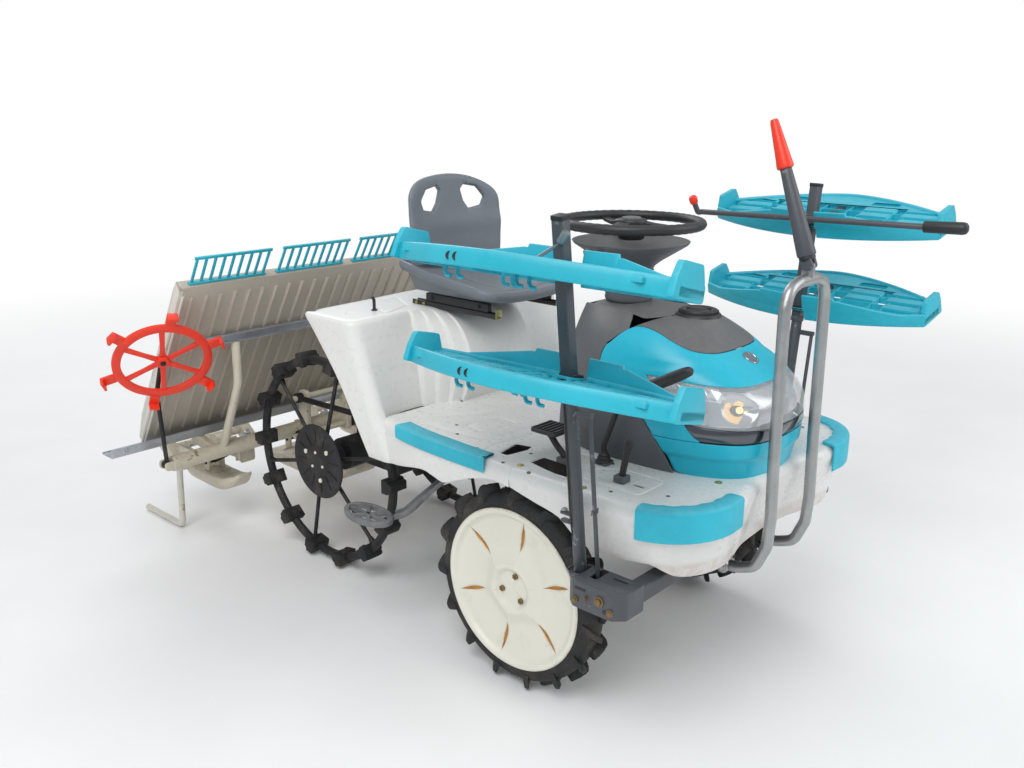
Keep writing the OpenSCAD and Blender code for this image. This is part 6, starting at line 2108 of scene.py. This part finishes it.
for y in (-345, 0, 345):
    dark_parts.append(tube([(-595, y, 205), (ph_x - 50, y, 288)], 9, 0, 18))
    dark_parts.append(y_tube(-595, 205, y - 38, y + 38, 6, 18))
for side in (-1, 1):
    arm_y = 606
    for x in (-22, 14):
        ear = slab(rounded([(arm_y - 46, 286), (arm_y + 16, 286), (arm_y + 16, 314), (arm_y - 46, 314)],
                           (3, 12, 12, 3), 4), -4, 4)
        frame_parts.append(([Vector((ph_x - 50 + x + 4 + v.z, side * v.x, v.y)) for v in ear[0]], ear[1]))
    frame_parts.append(turned([(0, 0.01), (0, 8), (40, 8), (40, 0.01)], (ph_x - 70, side * arm_y, 300),
                              (1, 0, 0), 20))
    socket = slab(rounded([(-574, 220), (-546, 220), (-546, 276), (-440, 276), (-440, 306), (-574, 306)],
                          (8, 8, 14, 3, 3, 12), 4), 0, 14.7)
    frame_parts.append(([Vector((v.x, side * (474 + v.z), v.y)) for v in socket[0]], socket[1]))
for y in (-300, 300):
    case = []
    for x, half, low, high in ((-705, 24, 226, 276), (-700, 26, 222, 288), (-640, 26, 224, 286),
                               (-560, 25, 232, 284), (ph_x - 96, 26, 236, 286), (ph_x - 60, 30, 226, 322)):
        case.append([Vector((x, y + s, z)) for s, z in rounded([(-half, low), (half, low), (half, high),
                (-half, high)], 10, 4)])
    frame_parts.append(shell(case))
    frame_parts.append(turned([(-27, 26), (-27, 34), (-24, 36), (24, 36), (27, 34), (27, 26), (27, 0.01)],
                              (-705, y, 250), (0, 1, 0), 36))
    for k in range(5):
        a = 2 * math.pi * k / 5
        for out in (-1, 1):
            frame_parts += bolt((-705 + 29 * math.cos(a), y + 27 * out, 250 + 29 * math.sin(a)),
                                (0, out, 0), 3.6, 0)
    for x in (-640, -560, -480):
        frame_parts.append(block((x - 3, y - 28, 228), (x + 3, y + 28, 288)))
piece("planting_frame_cast", [metres(p) for p in frame_parts], CREAM, "planting_unit", "planting_frame",
      bevel=0.001)
piece("float_hangers", [metres(p) for p in dark_parts], CHASSIS, "planting_unit",
      bevel=0.0004)

# planting rotors: an oval case with two claws each
rotor_parts, claw_parts = [], []
for y in (-450, -150, 150, 450):
    sign = 1 if y in (-450, 150) else -1
    place = Matrix.Translation((-705, y, 250)) @ Matrix.Rotation(math.radians(35), 4, "Y")
    oval = []
    for w, shrink in ((-20, 0.86), (-17, 1.0), (17, 1.0), (20, 0.86)):
        line = []
        for k in range(48):
            a = 2 * math.pi * k / 48
            cx_end = 52 if math.cos(a) >= 0 else -52
            line.append(Vector((cx_end + 24 * shrink * math.cos(a), w, 24 * shrink * math.sin(a))))
        oval.append(line)
    rotor_parts.append(moved(shell(oval), place))
    for k in (-1, 1):
        arm = slab(rounded([(k * 52 - 10, -12), (k * 52 + 10, -12), (k * 52 + 8, 50), (k * 52 - 8, 50)], 6,
                           4), 16, 42)
        claw_parts.append(moved(([Vector((v.x, sign * v.z, v.y)) for v in arm[0]], arm[1]), place))
        claw_parts.append(moved(shell([[Vector((k * 52 + x, sign * 30 + w, z)) for x,
                                        w in ((-5 * t, -3), (5 * t, -3), (5 * t, 3), (-5 * t, 3))] for z,
                                       t in ((42, 1), (62, 0.9), (72, 0.4))]), place))
        rotor_parts += [moved(p, place) for p in bolt((k * 52, -sign * 20, 0), (0, -sign, 0), 6, 0, 4)]
for y in (-300, 300):
    for a, b in ((-135, -27), (27, 135)):
        rotor_parts.append(y_tube(-705, 250, y + a, y + b, 14, 24))
piece("planting_rotors_cased", [metres(p) for p in rotor_parts], CREAM, "rotors", "planting_rotors",
      bevel=0.0006)
piece("planting_claws", [metres(p) for p in claw_parts], RAIL, "rotors", bevel=0.0005)


def float_form(x0, x1, w):
    """A hollow skid with an upturned nose and a flat back."""
    rings = []
    for k in range(25):
        t = k / 24
        x = x0 + (x1 - x0) * t
        wide = w / 2 * (sampled([(0, 0.8), (0.12, 0.97), (0.5, 1.0), (0.75, 0.93), (0.9, 0.76), (1, 0.5)],
                                t)[0])
        low = sampled([(0, 24), (0.1, 5), (0.3, 1), (0.7, 1), (0.88, 24), (1, 64)], t)[0]
        high = sampled([(0, 38), (0.2, 46), (0.7, 47), (0.88, 60), (1, 78)], t)[0]
        line = rounded([(-0.82, low), (0.82, low), (1, (low + high) / 2), (0.96, high), (-0.96, high),
                        (-1, (low + high) / 2)], 0)
        line = [(a * wide, b) for a, b in line]
        rings.append([Vector((x, a, 130 + b)) for a, b in rounded(line, 7, 3)])
    return shell(rings)


def float_pieces(y, x0, x1, w):
    parts = [moved(float_form(x0, x1, w), Matrix.Translation((0, y, 0)))]
    for s in (-1, 1):
        ear = slab(rounded([(-609, 172), (-581, 172), (-581, 216), (-609, 216)], (0, 0, 11, 11), 4), -5, 5,
                   [[(-595 + 6.1 * math.cos(a), 205 + 6.1 * math.sin(a))
                     for a in (2 * math.pi * k / 20 for k in range(20))]])
        parts.append(([Vector((v.x, y + s * 28 + v.z, v.y)) for v in ear[0]], ear[1]))
    groove_bar = [block((x0 + 60 + k * 60, y - w * 0.3, 176), (x0 + 66 + k * 60, y + w * 0.3, 178.4))
                  for k in range(4)]
    return [metres(p) for p in parts + groove_bar]


piece("centre_float_skid", float_pieces(0, -640, -165, 218), CREAM, "float_centre", "centre_float",
      bevel=0.001)
piece("side_float_skids", float_pieces(345, -735, -400, 103) + float_pieces(-345, -735, -400, 103), CREAM,
      "float_sides", "side_floats", bevel=0.001)

# marker arms and their star wheels, parking stands
STAR = Vector((-285, 668, 690))
STAR_AXIS = Vector((0.80, 0.34, -0.49)).normalized()
hook = slab(rounded([(134, -13), (150, -15), (180, -15), (180, 15), (150, 15), (134, 13)],
                    (3, 4, 2, 2, 4, 3), 3), -4.3, 4.3)
paddle = shell([[Vector((r, y, z)) for y, z in ((-14.5, -4.3), (14.5, -4.3), (14.5, top), (-14.5, top))]
                for r, top in ((177, 25.5), (178, 26), (184, 25), (185, 22))])
star_ring = turned([(-5.6, 119), (-6, 121), (-6, 141), (-4, 144), (4, 144), (6, 141), (6, 121), (5.6, 119)],
                   (0, 0, 0), (0, 0, 1), 72, closed=True)
star_spoke = shell([[Vector((r, y, z)) for y, z in rounded([(-w, -4), (w, -4), (w, 4), (-w, 4)], 1.6, 2)]
                    for r, w in ((14, 9), (60, 7), (122, 8.5))])
star_hub = turned([(-11, 8.2), (-11, 18), (-9, 20), (9, 20), (11, 18), (11, 8.2)], (0, 0, 0), (0, 0, 1), 32,
                  closed=True)
for side_name, side in SIDES:
    axis_turn = Matrix.Translation(STAR) @ Matrix.Rotation(math.atan2(STAR_AXIS.y, STAR_AXIS.x), 4,
            "Z") @ Matrix.Rotation(math.acos(STAR_AXIS.z), 4, "Y")
    parts = [star_ring, star_hub, ring_of(star_spoke, 6), ring_of(hook, 6, 10), ring_of(paddle, 6, 10)]
    piece("star_wheel_" + side_name + "_hooked", [metres(sided(moved(p, axis_turn), side)) for p in parts],
          ORANGE, "star_" + side_name, "star_wheel_" + side_name, bevel=0.0008)
    base = STAR - STAR_AXIS * 22
    knee = Vector((-396, 640, 560))
    foot_eye = turned([(-13.4, 8.2), (-13.4, 13), (-12, 14), (12, 14), (13.4, 13), (13.4, 8.2)],
                      (-440, 606, 300), (1, 0, 0), 24, closed=True)
    arm = [tube([(-440, 606, 312), knee, base], 7, 30, 18), foot_eye,
           tube([base - STAR_AXIS * 7, STAR + STAR_AXIS * 13], 7.9, 0, 20),
           *bolt(STAR + STAR_AXIS * 11.3, STAR_AXIS, 8, 0, 4)]
    arm.append(tube([(-432, 606, 308), (-424, 612, 360), (-416, 618, 420)], 3, 0, 10))
    piece("marker_arm_" + side_name + "_rod", [metres(sided(p, side)) for p in arm], CHASSIS, "side_marker_"
          + side_name, "marker_arm_" + side_name, bevel=0.0004)
stand_parts = []
for side in (-1, 1):
    stand_parts.append(tube([(-560, side * 500, 250), (-571, side * 500, 11.5), (-808, side * 500, 11.5)],
                            10.6, 26, 22))
    stand_parts.append(y_tube(-560, 240, min(side * 475, side * 500), max(side * 475, side * 500), 8, 20))
    stand_parts.append(turned([(0, 10), (2, 11.2), (7, 11.4), (8, 9), (8, 0.01)], (-804, side * 500, 11.5),
                              (-1, 0, 0), 22))
piece("parking_stand_bent", [metres(p) for p in stand_parts], TUBE_WHITE, "stand", "parking_stand",
      bevel=0.0)

# lift links
for name, (x, z), radius, eye, body, node in (("lower", (-60, 300), 12, 20, "lift_lower", "lower_links"),
                                              ("upper", (-60, 440), 10, 18, "lift_upper", "upper_link")):
    parts = [y_tube(x, z, -102, 102, 10, 24)]
    for side in (-1, 1):
        y = side * 114
        parts.append(tube([(x - 14, y, z), (x - 316, y, z - 10)], radius, 0, 20))
        for dx, dz in ((0, 0), (-330, -10)):
            parts.append(turned([(-12, 10.2), (-12, eye - 2), (-10, eye), (10, eye), (12, eye - 2),
                                 (12, 10.2)], (x + dx, y, z + dz), (0, 1, 0), 32, closed=True))
        parts += bolt((x, y + side * 12, z), (0, side, 0), 8, 12, 5)
    piece("lift_links_" + name, [metres(p) for p in parts], CHASSIS, body, node,
          bevel=0.0005)


# Light, floor and camera

scene.view_settings.view_transform = "Standard"

world = bpy.data.worlds.new("studio")
scene.world = world
world.use_nodes = True
sky = world.node_tree
sky.nodes.clear()
soft = sky.nodes.new("ShaderNodeBackground")
soft.inputs[0].default_value = (0.92, 0.95, 1.0, 1)
soft.inputs[1].default_value = 0.52
seen = sky.nodes.new("ShaderNodeBackground")
seen.inputs[0].default_value = (1, 1, 1, 1)
seen.inputs[1].default_value = 1.0
rays = sky.nodes.new("ShaderNodeLightPath")
either = sky.nodes.new("ShaderNodeMath")
either.operation = "MAXIMUM"
sky.links.new(rays.outputs["Is Camera Ray"], either.inputs[0])
sky.links.new(rays.outputs["Is Transmission Ray"], either.inputs[1])
blend = sky.nodes.new("ShaderNodeMixShader")
sky.links.new(either.outputs[0], blend.inputs[0])
sky.links.new(soft.outputs[0], blend.inputs[1])
sky.links.new(seen.outputs[0], blend.inputs[2])
sky.links.new(blend.outputs[0], sky.nodes.new("ShaderNodeOutputWorld").inputs[0])


def area_lamp(name, place, target, size, power):
    lamp = bpy.data.lights.new(name, "AREA")
    lamp.shape = "DISK"
    lamp.size, lamp.energy = size, power
    holder = bpy.data.objects.new(name, lamp)
    holder.location = place
    holder.rotation_euler = (Vector(target) - Vector(place)).to_track_quat("-Z", "Y").to_euler()
    scene.collection.objects.link(holder)


area_lamp("key", (1.5, -3.2, 4.4), (0, 0, 0.5), 3.6, 150)
area_lamp("fill", (4.0, 2.2, 3.0), (0.2, 0, 0.5), 3.4, 70)
area_lamp("back", (-3.5, 1.5, 3.6), (-0.2, 0, 0.6), 3.0, 60)

camera_data = bpy.data.cameras.new("camera")
camera = bpy.data.objects.new("camera", camera_data)
scene.collection.objects.link(camera)
scene.camera = camera
CAMERA_PLACE = Vector((1.991, -2.065, 1.442))
AZIMUTH, PITCH, ROLL = (math.radians(a) for a in (41.9, 16.14, -0.426))
FOCAL_PIXELS, WIDTH_PIXELS = 972.1, 1024
camera_data.sensor_width = 36.0
camera_data.lens = 36.0 * FOCAL_PIXELS / WIDTH_PIXELS
forward = Vector((-math.sin(AZIMUTH) * math.cos(PITCH), math.cos(AZIMUTH) * math.cos(PITCH),
                  -math.sin(PITCH)))
level = Vector((math.cos(AZIMUTH), math.sin(AZIMUTH), 0))
below = forward.cross(level)
right = level * math.cos(ROLL) + below * math.sin(ROLL)
down = below * math.cos(ROLL) - level * math.sin(ROLL)
turn = Matrix((right, -down, -forward)).transposed()
camera.matrix_world = Matrix.Translation(CAMERA_PLACE) @ turn.to_4x4()

floor_mesh = bpy.data.meshes.new("floor")
floor_mesh.from_pydata([(-30, -30, 0), (30, -30, 0), (30, 30, 0), (-30, 30, 0)], [], [(0, 1, 2, 3)])
floor = bpy.data.objects.new("floor", floor_mesh)
scene.collection.objects.link(floor)
floor_finish = Finish("pale floor", Roughness=0.9)
floor_finish.set(Base_Color=floor_finish.mix(floor_finish.noise(1.2).rise(0.3, 0.7), rgb(240, 240, 239),
                                             rgb(245, 245, 244)))
x, y, _ = floor_finish.axes()
away = (x * x + y * y) ** 0.5
glow = floor_finish.tree.nodes.new("ShaderNodeEmission")
joined = floor_finish.tree.nodes.new("ShaderNodeMixShader")
rays = floor_finish.tree.nodes.new("ShaderNodeLightPath")
either = Value(floor_finish.tree, rays.outputs["Is Camera Ray"]).most(Value(floor_finish.tree,
        rays.outputs["Is Transmission Ray"]))
plug(floor_finish.tree, joined.inputs[0], away.rise(1.9, 6.0) * either)
floor_finish.tree.links.new(floor_finish.shader.outputs[0], joined.inputs[1])
floor_finish.tree.links.new(glow.outputs[0], joined.inputs[2])
floor_finish.tree.links.new(joined.outputs[0], floor_finish.tree.nodes["Material Output"].inputs[0])
floor_mesh.materials.append(floor_finish.done())
floor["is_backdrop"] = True

low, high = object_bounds()
